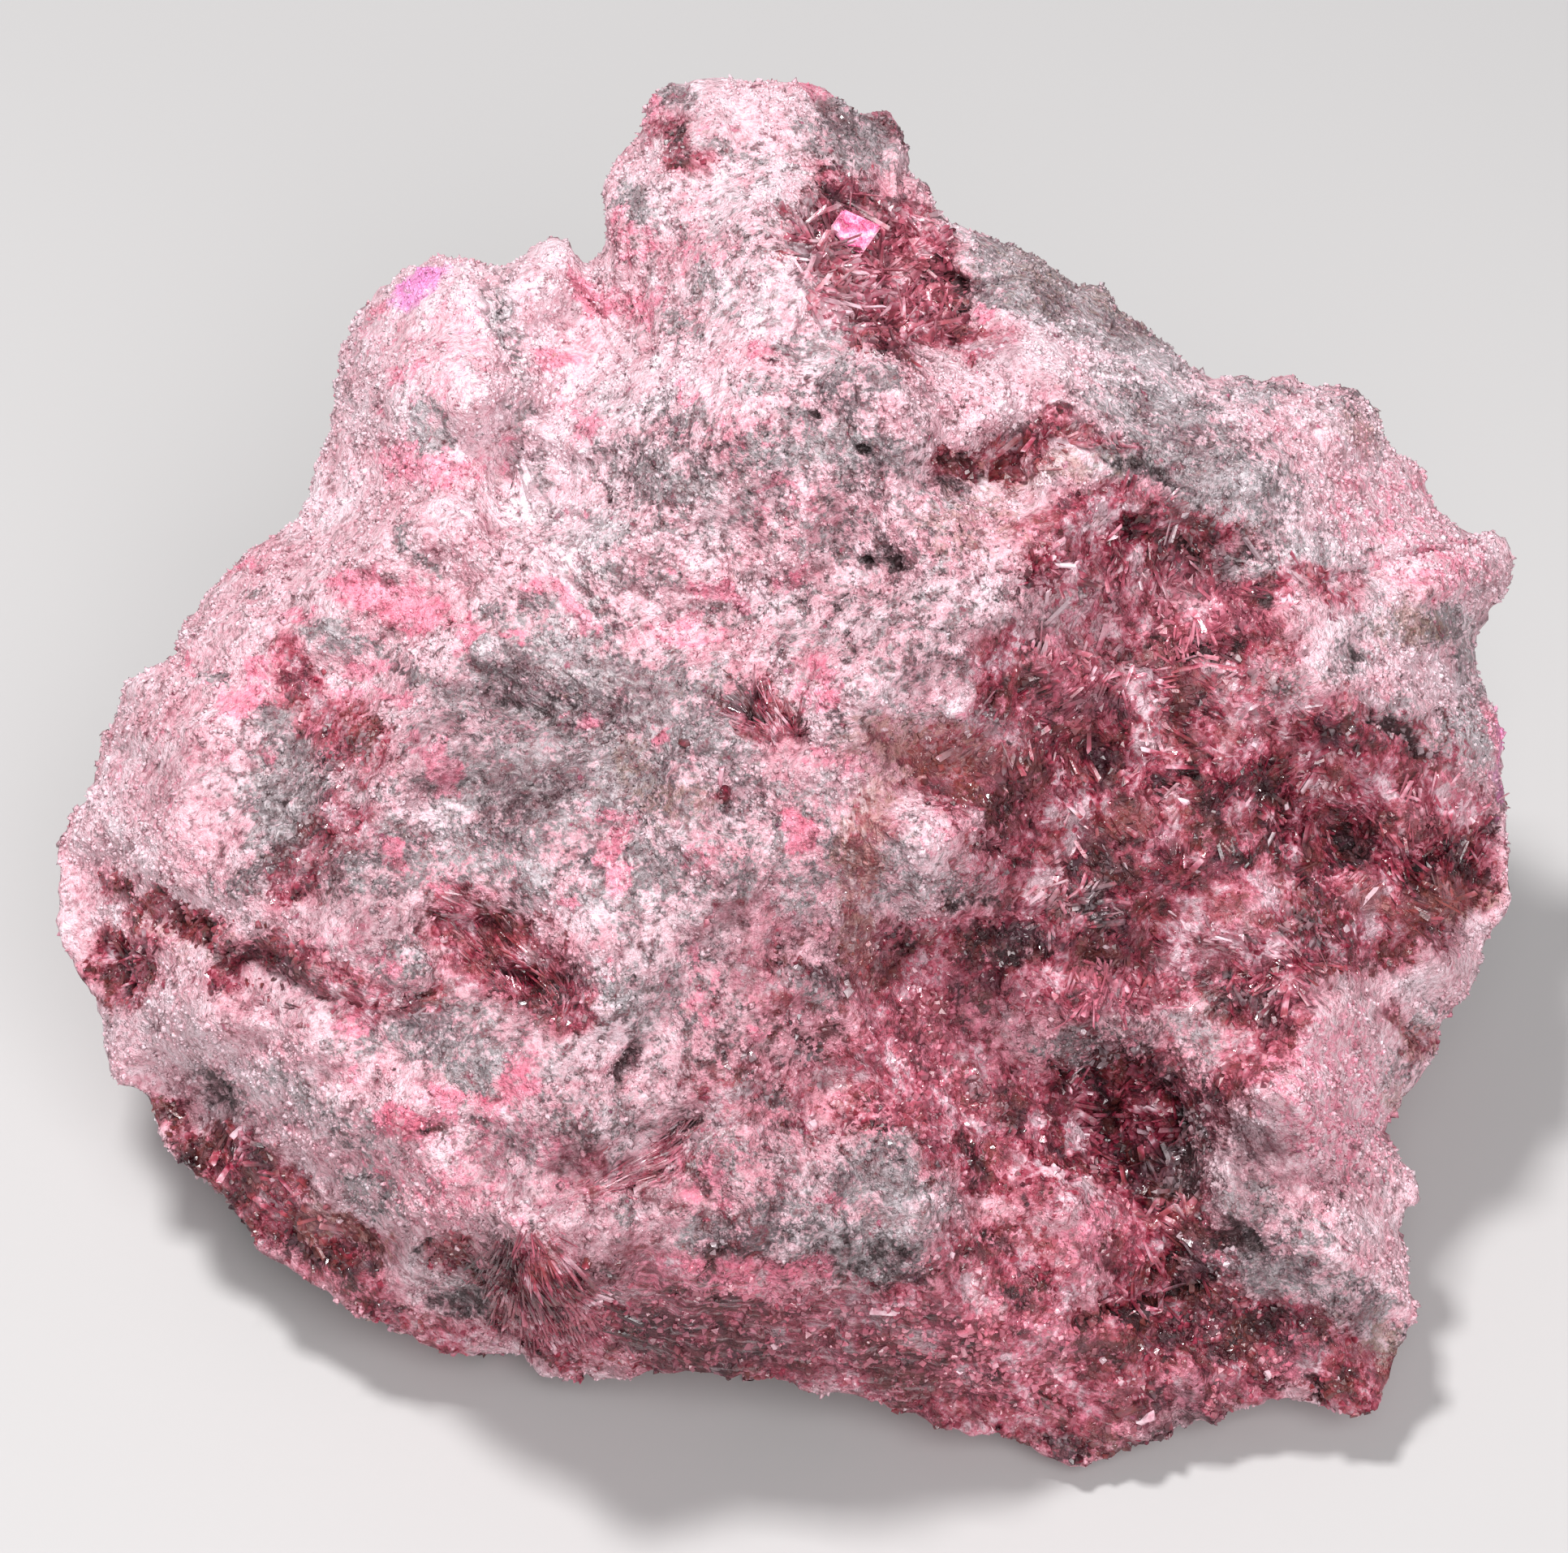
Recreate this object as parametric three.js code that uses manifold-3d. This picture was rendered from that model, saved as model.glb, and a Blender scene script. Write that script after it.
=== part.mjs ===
// A broken chunk of roselite ore, in millimetres. +Z is up. The broad crystal face slopes towards -Y.
import * as THREE from 'three';
import { mergeVertices } from 'three/addons/utils/BufferGeometryUtils.js';
import { ImprovedNoise } from 'three/addons/math/ImprovedNoise.js';
import Module from 'manifold-3d';

const wasm = await Module();
wasm.setup();

// Sizes of the stone and its crusts
const visibleRings = 20;       // rings of points from the middle of the broad face to the outline
const wallRings = 10;          // rings down the far and under sides
const looseness = 0.3;         // how far a point strays, as a share of the step to the next one
const edgeRounding = 12;       // higher keeps the broad face full for longer before it turns away
const wall = {
  turn: 3,                     // the skin keeps going away from the eye this far past the outline
  turnPerHeight: 0.2,          // and further where the outline is high
  footBack: 0.14,              // the foot lies further back by this share of the outline's height
  footIn: 0.11,                // and closer to the middle of the footprint by this share
  flatten: 0.88,               // how nearly a flat break is flat
  lift: 1.7,                   // this much rougher than the broad face
  stretch: 0.6,                // and in larger lumps
};
const base = {
  sink: 0.9,                   // the underside reaches this far below the resting plane before it is cut
  lift: 0.8,
  rings: [[52, 0.16], [40, 0.36], [26, 0.58], [14, 0.8], [1, 1]],   // points, and share of the way in
};
const crustThickness = 1.1;    // a crust without its blades
const crustGap = 0.45;         // clear space between a crust and the stone, measured towards the eye
const broadWave = 15;          // wavelength of the large facets
const broadLift = 1.5;
const fineWave = 6;            // wavelength of the small knobs
const fineLift = 0.45;

// Where the photo was taken from, which turns a place in the photo and a height into a place in space
const eyeDistance = 338;       // to the table at the middle of the photo
const eyeElevation = 42;       // degrees
const focalLength = 5550;      // photo pixels
const photoMiddle = [966, 956.5];

const tilt = THREE.MathUtils.degToRad(eyeElevation);
const forward = new THREE.Vector3(0, Math.cos(tilt), -Math.sin(tilt));
const upward = new THREE.Vector3(0, Math.sin(tilt), Math.cos(tilt));
const eye = forward.clone().multiplyScalar(-eyeDistance);

function placeInSpace(px, py, height) {
  const ray = forward.clone();
  ray.x += (px - photoMiddle[0]) / focalLength;
  ray.addScaledVector(upward, (photoMiddle[1] - py) / focalLength);
  return eye.clone().addScaledVector(ray, (height - eye.z) / ray.z);
}

// The outline against the cloth: photo x, photo y, height above the table
const outline = [
  [237, 759, 33], [255, 733, 34], [285, 704, 35], [323, 670, 36], [363, 649, 37], [381, 628, 38],
  [383, 605, 38], [395, 560, 39], [410, 531, 40], [415, 477, 41], [418, 448, 42], [430, 415, 43],
  [446, 379, 44], [482, 349, 45], [516, 327, 46], [545, 319, 47], [579, 327, 48], [601, 329, 48],
  [632, 325, 49], [655, 308, 49], [685, 288, 50], [709, 311, 50], [725, 332, 49], [741, 316, 51],
  [751, 293, 52], [749, 262, 53], [751, 215, 54], [779, 177, 55], [798, 145, 56], [802, 120, 57],
  [819, 101, 58], [842, 103, 58], [891, 96, 58], [927, 101, 58], [960, 102, 58], [1000, 106, 57],
  [1028, 118, 57], [1061, 140, 56], [1093, 137, 55], [1109, 159, 55], [1114, 190, 54], [1122, 221, 54],
  [1135, 219, 54], [1144, 248, 53], [1165, 273, 53], [1198, 284, 52], [1236, 304, 51], [1263, 309, 51],
  [1299, 334, 50], [1331, 356, 49], [1358, 354, 49], [1378, 381, 48], [1425, 420, 47], [1463, 449, 46],
  [1486, 465, 46], [1517, 467, 45], [1564, 469, 44], [1593, 464, 44], [1609, 477, 43], [1647, 481, 42],
  [1679, 490, 41], [1703, 514, 40], [1705, 549, 39], [1742, 568, 38], [1753, 599, 37], [1769, 626, 36],
  [1795, 650, 35], [1827, 664, 34], [1845, 661, 33], [1860, 685, 33], [1864, 703, 32], [1849, 734, 32],
  [1834, 752, 31], [1816, 792, 30], [1819, 828, 29], [1834, 871, 28], [1850, 900, 27], [1847, 950, 26],
  [1854, 999, 24], [1859, 1062, 22], [1854, 1124, 20], [1829, 1161, 18], [1820, 1200, 17], [1793, 1235, 16],
  [1777, 1259, 15], [1764, 1302, 14], [1734, 1346, 13], [1709, 1381, 12], [1708, 1403, 12], [1727, 1433, 12],
  [1748, 1477, 11], [1727, 1492, 11], [1723, 1516, 10], [1733, 1581, 9], [1746, 1618, 8], [1727, 1647, 7],
  [1714, 1682, 6], [1699, 1725, 5], [1669, 1743, 4], [1621, 1730, 4], [1586, 1718, 5], [1549, 1724, 5],
  [1520, 1738, 4], [1485, 1747, 4], [1451, 1745, 4], [1437, 1760, 3], [1400, 1779, 3], [1346, 1802, 2],
  [1324, 1805, 2], [1301, 1799, 2], [1256, 1770, 3], [1230, 1765, 4], [1176, 1758, 5], [1129, 1745, 5],
  [1081, 1725, 6], [1055, 1713, 7], [1005, 1716, 7], [969, 1697, 8], [915, 1693, 9], [866, 1685, 9],
  [801, 1690, 7], [756, 1698, 5], [722, 1696, 4], [683, 1693, 4], [663, 1689, 3], [652, 1673, 4],
  [634, 1664, 5], [594, 1664, 5], [549, 1665, 5], [504, 1642, 6], [455, 1624, 7], [414, 1599, 8],
  [369, 1568, 8], [320, 1538, 9], [309, 1518, 9], [289, 1485, 10], [255, 1451, 11], [212, 1420, 12],
  [201, 1397, 12], [185, 1350, 13], [149, 1328, 14], [134, 1298, 15], [120, 1229, 17], [88, 1182, 18],
  [77, 1153, 19], [67, 1108, 20], [76, 1072, 21], [77, 1036, 22], [104, 985, 24], [128, 942, 26],
  [128, 920, 26], [144, 884, 28], [156, 842, 30], [196, 823, 31], [215, 810, 32], [219, 789, 33],
];
const faceMiddle = [970, 950];

// Heights of the broad face above the table, one row for each photo y: pairs of photo x and height
const heightRows = [
  [150, [[820, 56], [900, 59], [1000, 58], [1080, 55.5]]],
  [260, [[780, 54.5], [860, 57.5], [960, 59], [1060, 57], [1130, 54.5]]],
  [380, [[450, 45.5], [520, 50], [600, 52], [660, 51.5], [725, 50], [800, 54], [900, 58], [1000, 59],
    [1100, 57.5], [1200, 56], [1300, 53.5], [1370, 50]]],
  [480, [[430, 43.5], [500, 48], [580, 50.5], [640, 50], [700, 49], [780, 52.5], [900, 56.5],
    [1040, 57.5], [1180, 56.5], [1300, 55], [1420, 52], [1500, 49]]],
  [580, [[410, 41], [480, 45.5], [560, 48], [640, 46.5], [700, 47.5], [800, 51], [920, 54], [1060, 54.5],
    [1200, 54], [1330, 53.5], [1450, 51.5], [1560, 48], [1650, 44.5], [1740, 40]]],
  [700, [[320, 38], [400, 41.5], [500, 45], [600, 45.5], [700, 46.5], [820, 49], [950, 50.5], [1080, 51],
    [1200, 51], [1300, 49], [1420, 46.5], [1540, 45.5], [1650, 43], [1760, 39], [1840, 34]]],
  [830, [[200, 32.5], [300, 36.5], [420, 40], [520, 42.5], [620, 43], [740, 44.5], [880, 46.5], [1020, 47.5],
    [1140, 47.5], [1250, 44], [1370, 41], [1500, 40.5], [1600, 40], [1700, 38], [1800, 33]]],
  [960, [[130, 27], [220, 32.5], [330, 36], [450, 38], [580, 39.5], [720, 41], [860, 42.5], [1000, 43.5],
    [1120, 43], [1230, 39.5], [1350, 36.5], [1480, 35.5], [1600, 35], [1720, 32.5], [1830, 28]]],
  [1080, [[95, 23], [190, 28.5], [300, 32.5], [430, 34.5], [560, 36], [700, 37.5], [850, 38.5], [990, 38.5],
    [1120, 38], [1250, 34.5], [1380, 32], [1500, 30.5], [1620, 29.5], [1740, 27.5], [1840, 22.5]]],
  [1200, [[120, 18.5], [220, 24], [330, 28.5], [450, 31], [580, 32.5], [720, 34], [860, 34], [1000, 33],
    [1130, 31.5], [1260, 29], [1390, 27], [1520, 26], [1640, 25], [1740, 22], [1820, 17.5]]],
  [1320, [[160, 15.5], [250, 20], [360, 24.5], [480, 27.5], [610, 29], [750, 30], [880, 29.5], [1010, 28],
    [1140, 26], [1270, 23], [1390, 21], [1520, 22], [1620, 22.5], [1700, 18.5]]],
  [1440, [[240, 12.5], [330, 16], [430, 20.5], [530, 24], [650, 25.5], [780, 25.5], [910, 25.5], [1040, 24.5],
    [1170, 22], [1300, 19], [1420, 17.5], [1530, 18.5], [1640, 17.5], [1720, 13]]],
  [1560, [[360, 10], [450, 12.5], [550, 16.5], [650, 20], [770, 20.5], [900, 20.5], [1040, 19.5], [1170, 17.5],
    [1300, 15], [1420, 13.5], [1540, 13.5], [1650, 13], [1720, 10.5]]],
  [1650, [[560, 8], [640, 12.5], [760, 13], [900, 13], [1040, 14.5], [1170, 13.5], [1300, 11.5], [1420, 9.5],
    [1540, 9], [1650, 8.5], [1710, 7.5]]],
  [1740, [[1100, 8], [1200, 8], [1300, 7], [1400, 5.5], [1500, 5], [1680, 5]]],
];

// Lobes and hollows of the broad face: photo place, half sizes in photo pixels, turn in degrees, lift in mm
const lumps = {
  upperPocket: { at: [1090, 320], reach: [145, 85], turn: 42, lift: -2.6, steep: 4 },
  upperPocketDeep: { at: [1165, 352], reach: [36, 30], turn: 0, lift: -2.2, steep: 2 },
  vug: { at: [1252, 560], reach: [48, 44], turn: 20, lift: -3.6, steep: 4 },
  smallVug: { at: [1172, 574], reach: [32, 24], turn: 0, lift: -1.8, steep: 2 },
  pitGroup: { at: [1085, 705], reach: [52, 36], turn: 10, lift: -1.8, steep: 2 },
  centreFan: { at: [945, 880], reach: [72, 48], turn: 32, lift: -1.6, steep: 4 },
  leftPocket: { at: [620, 1190], reach: [110, 66], turn: 28, lift: -2.4, steep: 4 },
  leftNotch: { at: [145, 1200], reach: [50, 42], turn: 30, lift: -2, steep: 4 },
  greyDip: { at: [370, 1000], reach: [60, 110], turn: 10, lift: -1.4, steep: 2 },
  greyLedge: { at: [640, 880], reach: [100, 34], turn: 8, lift: -2, steep: 2 },
  deepHollow: { at: [1385, 1385], reach: [112, 92], turn: 0, lift: -4.6, steep: 4 },
  lowHollow: { at: [1440, 1540], reach: [60, 74], turn: 0, lift: -2.4, steep: 2 },
  lowGroove: { at: [1390, 1608], reach: [105, 24], turn: 2, lift: -1.8, steep: 2 },
  fieldDip: { at: [1690, 1030], reach: [130, 56], turn: 8, lift: -2.2, steep: 2 },
  fieldTop: { at: [1430, 700], reach: [95, 75], turn: 10, lift: -1.6, steep: 2 },
  wedge: { at: [790, 1425], reach: [92, 36], turn: -20, lift: -1.8, steep: 2 },
  glassyKnob: { at: [1060, 490], reach: [58, 62], turn: 0, lift: 1.3, steep: 4 },
  shoulderLobe: { at: [525, 450], reach: [90, 110], turn: 0, lift: 1.2, steep: 2 },
  greyKnobs: { at: [1060, 1495], reach: [150, 80], turn: 6, lift: 1.3, steep: 4 },
  pinkBlock: { at: [755, 1210], reach: [66, 60], turn: 0, lift: 1.6, steep: 4 },
  paleBlock: { at: [590, 802], reach: [46, 38], turn: 0, lift: 1.2, steep: 2 },
  sprayBlock: { at: [690, 1575], reach: [90, 90], turn: 0, lift: 1.4, steep: 4 },
  wallLobe: { at: [1625, 1330], reach: [100, 120], turn: 20, lift: 2.6, steep: 2 },
  wallFoot: { at: [1665, 1545], reach: [70, 60], turn: 0, lift: 1.6, steep: 2 },
  rightKnob: { at: [1790, 1190], reach: [36, 36], turn: 0, lift: 1.6, steep: 2 },
  farRightKnob: { at: [1800, 690], reach: [60, 60], turn: 0, lift: 1.6, steep: 2 },
  leftLobe: { at: [205, 960], reach: [96, 105], turn: 0, lift: 1.6, steep: 2 },
  lowLeftLobe: { at: [225, 1262], reach: [84, 60], turn: 10, lift: 1.5, steep: 4 },
  fieldIsland: { at: [1170, 1045], reach: [80, 80], turn: 0, lift: 1.3, steep: 4 },
  pinkKnot: { at: [1400, 785], reach: [46, 42], turn: 0, lift: 1, steep: 2 },
  frontKnob: { at: [1300, 1480], reach: [56, 46], turn: 0, lift: 1.3, steep: 2 },
  edgeKnobA: { at: [1465, 1702], reach: [40, 34], turn: 0, lift: 1.4, steep: 2 },
  edgeKnobB: { at: [1588, 1688], reach: [38, 34], turn: 0, lift: 1.2, steep: 2 },
};

// Steps in the broad face: a sharp upper lip, then a recess that fades below it over the given width
const ledges = {
  shoulderCleft: { line: [[725, 320], [715, 400], [700, 480], [665, 560], [650, 620]], width: 34, drop: 2.4 },
  shoulderSlit: { line: [[612, 345], [632, 440], [640, 520], [652, 600]], width: 16, drop: 1.4 },
  leftLedge: { line: [[80, 1090], [130, 1082], [190, 1116], [240, 1132], [275, 1118]], width: 42, drop: 2.6 },
  leftBand: { line: [[290, 1165], [400, 1200], [470, 1230], [550, 1216]], width: 32, drop: 1.8 },
  leftEdge: { line: [[165, 1322], [250, 1324], [330, 1374], [400, 1470], [520, 1545]], width: 60, drop: 2.6 },
  frontEdge: { line: [[650, 1650], [790, 1600], [900, 1622], [1200, 1690]], width: 50, drop: 1.6 },
  middleShelf: { line: [[1150, 590], [1230, 600], [1330, 600], [1440, 655], [1530, 680]], width: 60, drop: 1.6 },
};

// Flat breaks of the far and under sides: the way each faces, and how far outside the outline it passes
const breaks = [
  { facing: [0.45, 0.85, -0.25], spare: 6.5 },
  { facing: [-0.55, 0.75, -0.35], spare: 5.5 },
  { facing: [0.05, 0.98, 0.15], spare: 2.2 },
  { facing: [0.8, -0.1, -0.6], spare: 3 },
  { facing: [-0.8, 0.1, -0.6], spare: 2.5 },
  { facing: [0.7, 0.6, 0.4], spare: 1.6 },
  { facing: [-0.6, 0.7, 0.35], spare: 1.8 },
];

// Crystal crusts: the region each covers in the photo, and its blades in mm. Blades point away from the root
// when one is given, and lie at random when not.
const crusts = {
  upper_pocket_crystals: {
    region: [[1000, 215], [1062, 205], [1095, 245], [1150, 290], [1192, 362], [1222, 455], [1160, 432],
      [1100, 438], [1045, 425], [1000, 380], [955, 345], [945, 300]],
    blades: 8, length: [3.4, 5.4], width: 1.7, rise: 30,
  },
  vug_crystals: {
    region: [[1215, 525], [1260, 515], [1300, 530], [1375, 528], [1390, 550], [1330, 556], [1290, 590],
      [1240, 600], [1212, 575]],
    blades: 3, length: [2.4, 3.6], width: 1.2, rise: 26,
  },
  right_field_crystals: {
    region: [[1262, 668], [1330, 690], [1362, 612], [1450, 604], [1490, 655], [1540, 700], [1640, 716],
      [1640, 762], [1562, 755], [1555, 845], [1648, 852], [1668, 930], [1742, 962], [1826, 968],
      [1830, 1060], [1800, 1125], [1740, 1150], [1650, 1190], [1590, 1240], [1510, 1290], [1400, 1280],
      [1290, 1230], [1240, 1130], [1272, 1040], [1190, 930], [1262, 800]],
    blades: 18, length: [4.5, 7.5], width: 2, rise: 26,
  },
  deep_hollow_crystals: {
    region: [[1300, 1318], [1380, 1308], [1450, 1330], [1478, 1400], [1470, 1480], [1492, 1560],
      [1440, 1630], [1330, 1632], [1385, 1560], [1392, 1480], [1330, 1440], [1290, 1390]],
    blades: 8, length: [3.4, 5.6], width: 1.8, rise: 34,
  },
  centre_fan_crystals: {
    region: [[890, 838], [950, 842], [1000, 880], [1004, 915], [950, 925], [905, 890]],
    root: [975, 925], blades: 5, length: [3, 4.6], width: 1.2, rise: 20,
  },
  left_pocket_crystals: {
    region: [[530, 1105], [600, 1100], [655, 1150], [705, 1215], [700, 1262], [640, 1240], [570, 1190]],
    root: [690, 1275], blades: 7, length: [3.4, 5.4], width: 1.3, rise: 24,
  },
  left_ledge_crystals: {
    region: [[180, 1130], [262, 1122], [272, 1140], [200, 1165], [190, 1225], [120, 1222], [112, 1168]],
    blades: 4, length: [2.4, 3.6], width: 1.2, rise: 26,
  },
  left_band_crystals: {
    region: [[296, 1180], [400, 1205], [468, 1232], [552, 1212], [556, 1272], [460, 1288], [380, 1262],
      [296, 1236]],
    blades: 4, length: [2.8, 4], width: 1.2, rise: 20,
  },
  left_flank_crystals: {
    region: [[216, 1362], [270, 1368], [345, 1428], [410, 1510], [480, 1560], [450, 1585], [365, 1528],
      [315, 1470], [248, 1415]],
    blades: 6, length: [2.6, 3.6], width: 1.3, rise: 18,
  },
  front_spray_crystals: {
    region: [[650, 1488], [700, 1520], [742, 1590], [735, 1638], [660, 1648], [600, 1628], [570, 1570]],
    root: [655, 1478], blades: 7, length: [3.8, 5.8], width: 1.4, rise: 20,
  },
  front_wedge_crystals: {
    region: [[700, 1462], [780, 1405], [858, 1388], [850, 1425], [800, 1470], [740, 1490]],
    root: [700, 1475], blades: 4, length: [3, 4.6], width: 1.2, rise: 20,
  },
  bottom_edge_crystals: {
    region: [[1360, 1735], [1412, 1700], [1448, 1715], [1430, 1748], [1385, 1768]],
    blades: 3, length: [2, 2.8], width: 1.8, rise: 34,
  },
};
const rhomb = { at: [1062, 283], across: 2.9, thick: 1.5, lift: 1.1, turn: 24, gap: 0.35 };

let dice = 7;
function roll(low, high) {
  dice += 1;
  return low + (high - low) * THREE.MathUtils.seededRandom(dice * 7919);
}

// Smooth curve through pairs of place and value
function curveThrough(pairs) {
  return new THREE.CubicInterpolant(pairs.map((pair) => pair[0]), pairs.map((pair) => pair[1]), 1);
}
const rowCurves = heightRows.map(([, pairs]) => curveThrough(pairs));

function rowHeight(px, py) {
  const column = heightRows.map(([rowY], row) => [rowY, rowCurves[row].evaluate(px)[0]]);
  return curveThrough(column).evaluate(py)[0];
}

function lumpLift(px, py) {
  let lift = 0;
  for (const lump of Object.values(lumps)) {
    const offset = new THREE.Vector2(px - lump.at[0], py - lump.at[1]);
    offset.rotateAround(new THREE.Vector2(), -THREE.MathUtils.degToRad(lump.turn));
    const away = Math.hypot(offset.x / lump.reach[0], offset.y / lump.reach[1]);
    lift += lump.lift * Math.exp(-(away ** lump.steep));
  }
  return lift;
}

function ledgeDrop(px, py) {
  const place = new THREE.Vector3(px, py, 0);
  let drop = 0;
  for (const ledge of Object.values(ledges)) {
    let nearest = Infinity;
    let below = true;
    for (let i = 1; i < ledge.line.length; i += 1) {
      const piece = new THREE.Line3(
        new THREE.Vector3(...ledge.line[i - 1], 0),
        new THREE.Vector3(...ledge.line[i], 0),
      );
      const foot = piece.closestPointToPoint(place, true, new THREE.Vector3());
      const distance = foot.distanceTo(place);
      if (distance < nearest) {
        nearest = distance;
        below = piece.delta(new THREE.Vector3()).cross(place.clone().sub(foot)).z > 0;
      }
    }
    const reach = below ? ledge.width : ledge.width / 5;
    drop += ledge.drop * Math.exp(-nearest / reach);
  }
  return drop;
}

const grain = new ImprovedNoise();
function roughness(place) {
  const broad = grain.noise(place.x / broadWave + 3, place.y / broadWave + 5, place.z / broadWave + 7);
  const fine = grain.noise(place.x / fineWave + 11, place.y / fineWave + 13, place.z / fineWave + 17);
  return broadLift * (1 - 4 * Math.abs(broad)) + fineLift * (1 - 4 * Math.abs(fine));
}

// The outline as shares of the way round it, by length
const outlineSteps = outline.map(([px, py], i) => {
  const [nextX, nextY] = outline[(i + 1) % outline.length];
  return Math.hypot(nextX - px, nextY - py);
});
const outlineLength = outlineSteps.reduce((sum, step) => sum + step, 0);
let walked = 0;
const outlineRounds = outlineSteps.map((step) => {
  const round = walked / outlineLength;
  walked += step;
  return round;
});

function outlineAt(round) {
  const wrapped = round - Math.floor(round);
  let i = outlineRounds.length - 1;
  while (outlineRounds[i] > wrapped) i -= 1;
  const share = (wrapped - outlineRounds[i]) / (outlineSteps[i] / outlineLength);
  const next = outline[(i + 1) % outline.length];
  return outline[i].map((value, axis) => THREE.MathUtils.lerp(value, next[axis], share));
}

// One point of the broad face: a share of the way round the outline and a share of the way out to it
function onBroadFace(round, out) {
  const rim = outlineAt(round);
  const px = THREE.MathUtils.lerp(faceMiddle[0], rim[0], out);
  const py = THREE.MathUtils.lerp(faceMiddle[1], rim[1], out);
  const full = Math.sqrt(1 - out ** edgeRounding);
  const smooth = rowHeight(px, py);
  const bumps = lumpLift(px, py) - ledgeDrop(px, py) + roughness(placeInSpace(px, py, smooth));
  const height = THREE.MathUtils.lerp(rim[2], smooth + bumps, full);
  return { place: placeInSpace(px, py, height), photo: [px, py] };
}

// The far side goes from the outline (down 0) to the resting plane (down 1); it evens out below the outline
const planMiddle = new THREE.Vector3(0, -30, 0);
const evenShares = [-0.045, -0.03, -0.015, 0, 0.015, 0.03, 0.045];
const breakPlanes = breaks.map(({ facing, spare }) => {
  const towards = new THREE.Vector3(...facing).normalize();
  const furthest = Math.max(...outline.map((rim) => placeInSpace(...rim).dot(towards)));
  return { facing: towards, limit: furthest + spare };
});

function evenOutline(round) {
  const near = new THREE.Vector3();
  for (const share of evenShares) {
    near.addScaledVector(placeInSpace(...outlineAt(round + share)), 1 / evenShares.length);
  }
  return near;
}
function onWall(round, down) {
  const rim = placeInSpace(...outlineAt(round));
  const even = evenOutline(round);
  const foot = new THREE.Vector3(even.x, even.y + wall.footBack * even.z, -base.sink);
  foot.lerp(planMiddle.clone().setZ(-base.sink), wall.footIn);
  const turn = even.clone().addScaledVector(forward, wall.turn + wall.turnPerHeight * even.z);
  const place = new THREE.QuadraticBezierCurve3(rim, turn, foot).getPoint(down);
  const outward = place.clone().sub(planMiddle).setZ(0).normalize();
  const free = Math.min(1, down * 2.5);
  const bumps = roughness(place.clone().multiplyScalar(wall.stretch)) - 1;
  place.addScaledVector(outward, wall.lift * bumps * free);
  for (const { facing, limit } of breakPlanes) {
    const beyond = Math.max(0, place.dot(facing) - limit);
    place.addScaledVector(facing, -wall.flatten * beyond * free);
  }
  return place;
}

function onBase(round, inward) {
  const place = onWall(round, 1).lerp(planMiddle.clone().setZ(-base.sink), inward);
  place.z += base.lift * roughness(place) * Math.min(1, inward * 4);
  return place;
}

// Rings of points, each with its share of the way round; the first and last rings are single points
const points = [];
const photoOf = [];
const rings = [];
function addRing(rounds, makePoint) {
  const ring = rounds.map((round) => {
    const made = makePoint(round);
    points.push(made.place);
    photoOf.push(made.photo);
    return { round, corner: points.length - 1 };
  });
  rings.push(ring);
}
function looseRounds(count) {
  return Array.from({ length: count }, (unused, i) => (i + 0.5 + roll(-looseness, looseness)) / count);
}
for (let ring = 0; ring < visibleRings; ring += 1) {
  const count = Math.max(1, Math.round((outline.length * ring) / visibleRings));
  const loose = ring > 0 ? looseness : 0;
  addRing(looseRounds(count), (round) => onBroadFace(round, (ring + roll(-loose, loose)) / visibleRings));
}
addRing(outlineRounds, (round) => onBroadFace(round, 1));
for (let ring = 1; ring <= wallRings; ring += 1) {
  const count = Math.round(outline.length * Math.max(0.5, 1 - 0.15 * ring));
  const loose = ring < wallRings ? looseness : 0;
  const down = () => (ring + roll(-loose, loose)) / wallRings;
  addRing(looseRounds(count), (round) => ({ place: onWall(round, down()), photo: null }));
}
for (const [count, inward] of base.rings) {
  addRing(looseRounds(count), (round) => ({ place: onBase(round, inward), photo: null }));
}

// Neighbouring rings are laced together, always stepping along the ring whose next corner comes first
const faces = [];
for (let i = 1; i < rings.length; i += 1) {
  const inner = rings[i - 1];
  const outer = rings[i];
  const cornerOf = (ring, step) => ring[step % ring.length].corner;
  const roundOf = (ring, step) => ring[step % ring.length].round + (step >= ring.length);
  let a = 0;
  let b = 0;
  const innerSteps = inner.length > 1 ? inner.length : 0;
  const outerSteps = outer.length > 1 ? outer.length : 0;
  while (a < innerSteps || b < outerSteps) {
    const stepInner = b >= outerSteps || (a < innerSteps && roundOf(inner, a + 1) < roundOf(outer, b + 1));
    if (stepInner) {
      faces.push([cornerOf(inner, a), cornerOf(inner, a + 1), cornerOf(outer, b)]);
      a += 1;
    } else {
      faces.push([cornerOf(inner, a), cornerOf(outer, b + 1), cornerOf(outer, b)]);
      b += 1;
    }
  }
}

function geometryOf(places, triangles) {
  const geometry = new THREE.BufferGeometry();
  geometry.setAttribute('position', new THREE.Float32BufferAttribute(places.flatMap((p) => p.toArray()), 3));
  geometry.setIndex(triangles.flat());
  return geometry;
}

function solidOf(geometry) {
  const bare = geometry.clone();
  bare.deleteAttribute('normal');
  bare.deleteAttribute('uv');
  const merged = mergeVertices(bare, 1e-4);
  return new wasm.Manifold(new wasm.Mesh({
    numProp: 3,
    vertProperties: new Float32Array(merged.attributes.position.array),
    triVerts: new Uint32Array(merged.index.array),
  }));
}

function geometryFrom(solid) {
  const made = solid.getMesh();
  const geometry = new THREE.BufferGeometry();
  geometry.setAttribute('position', new THREE.Float32BufferAttribute(made.vertProperties, 3));
  geometry.setIndex([...made.triVerts]);
  return geometry;
}

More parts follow.
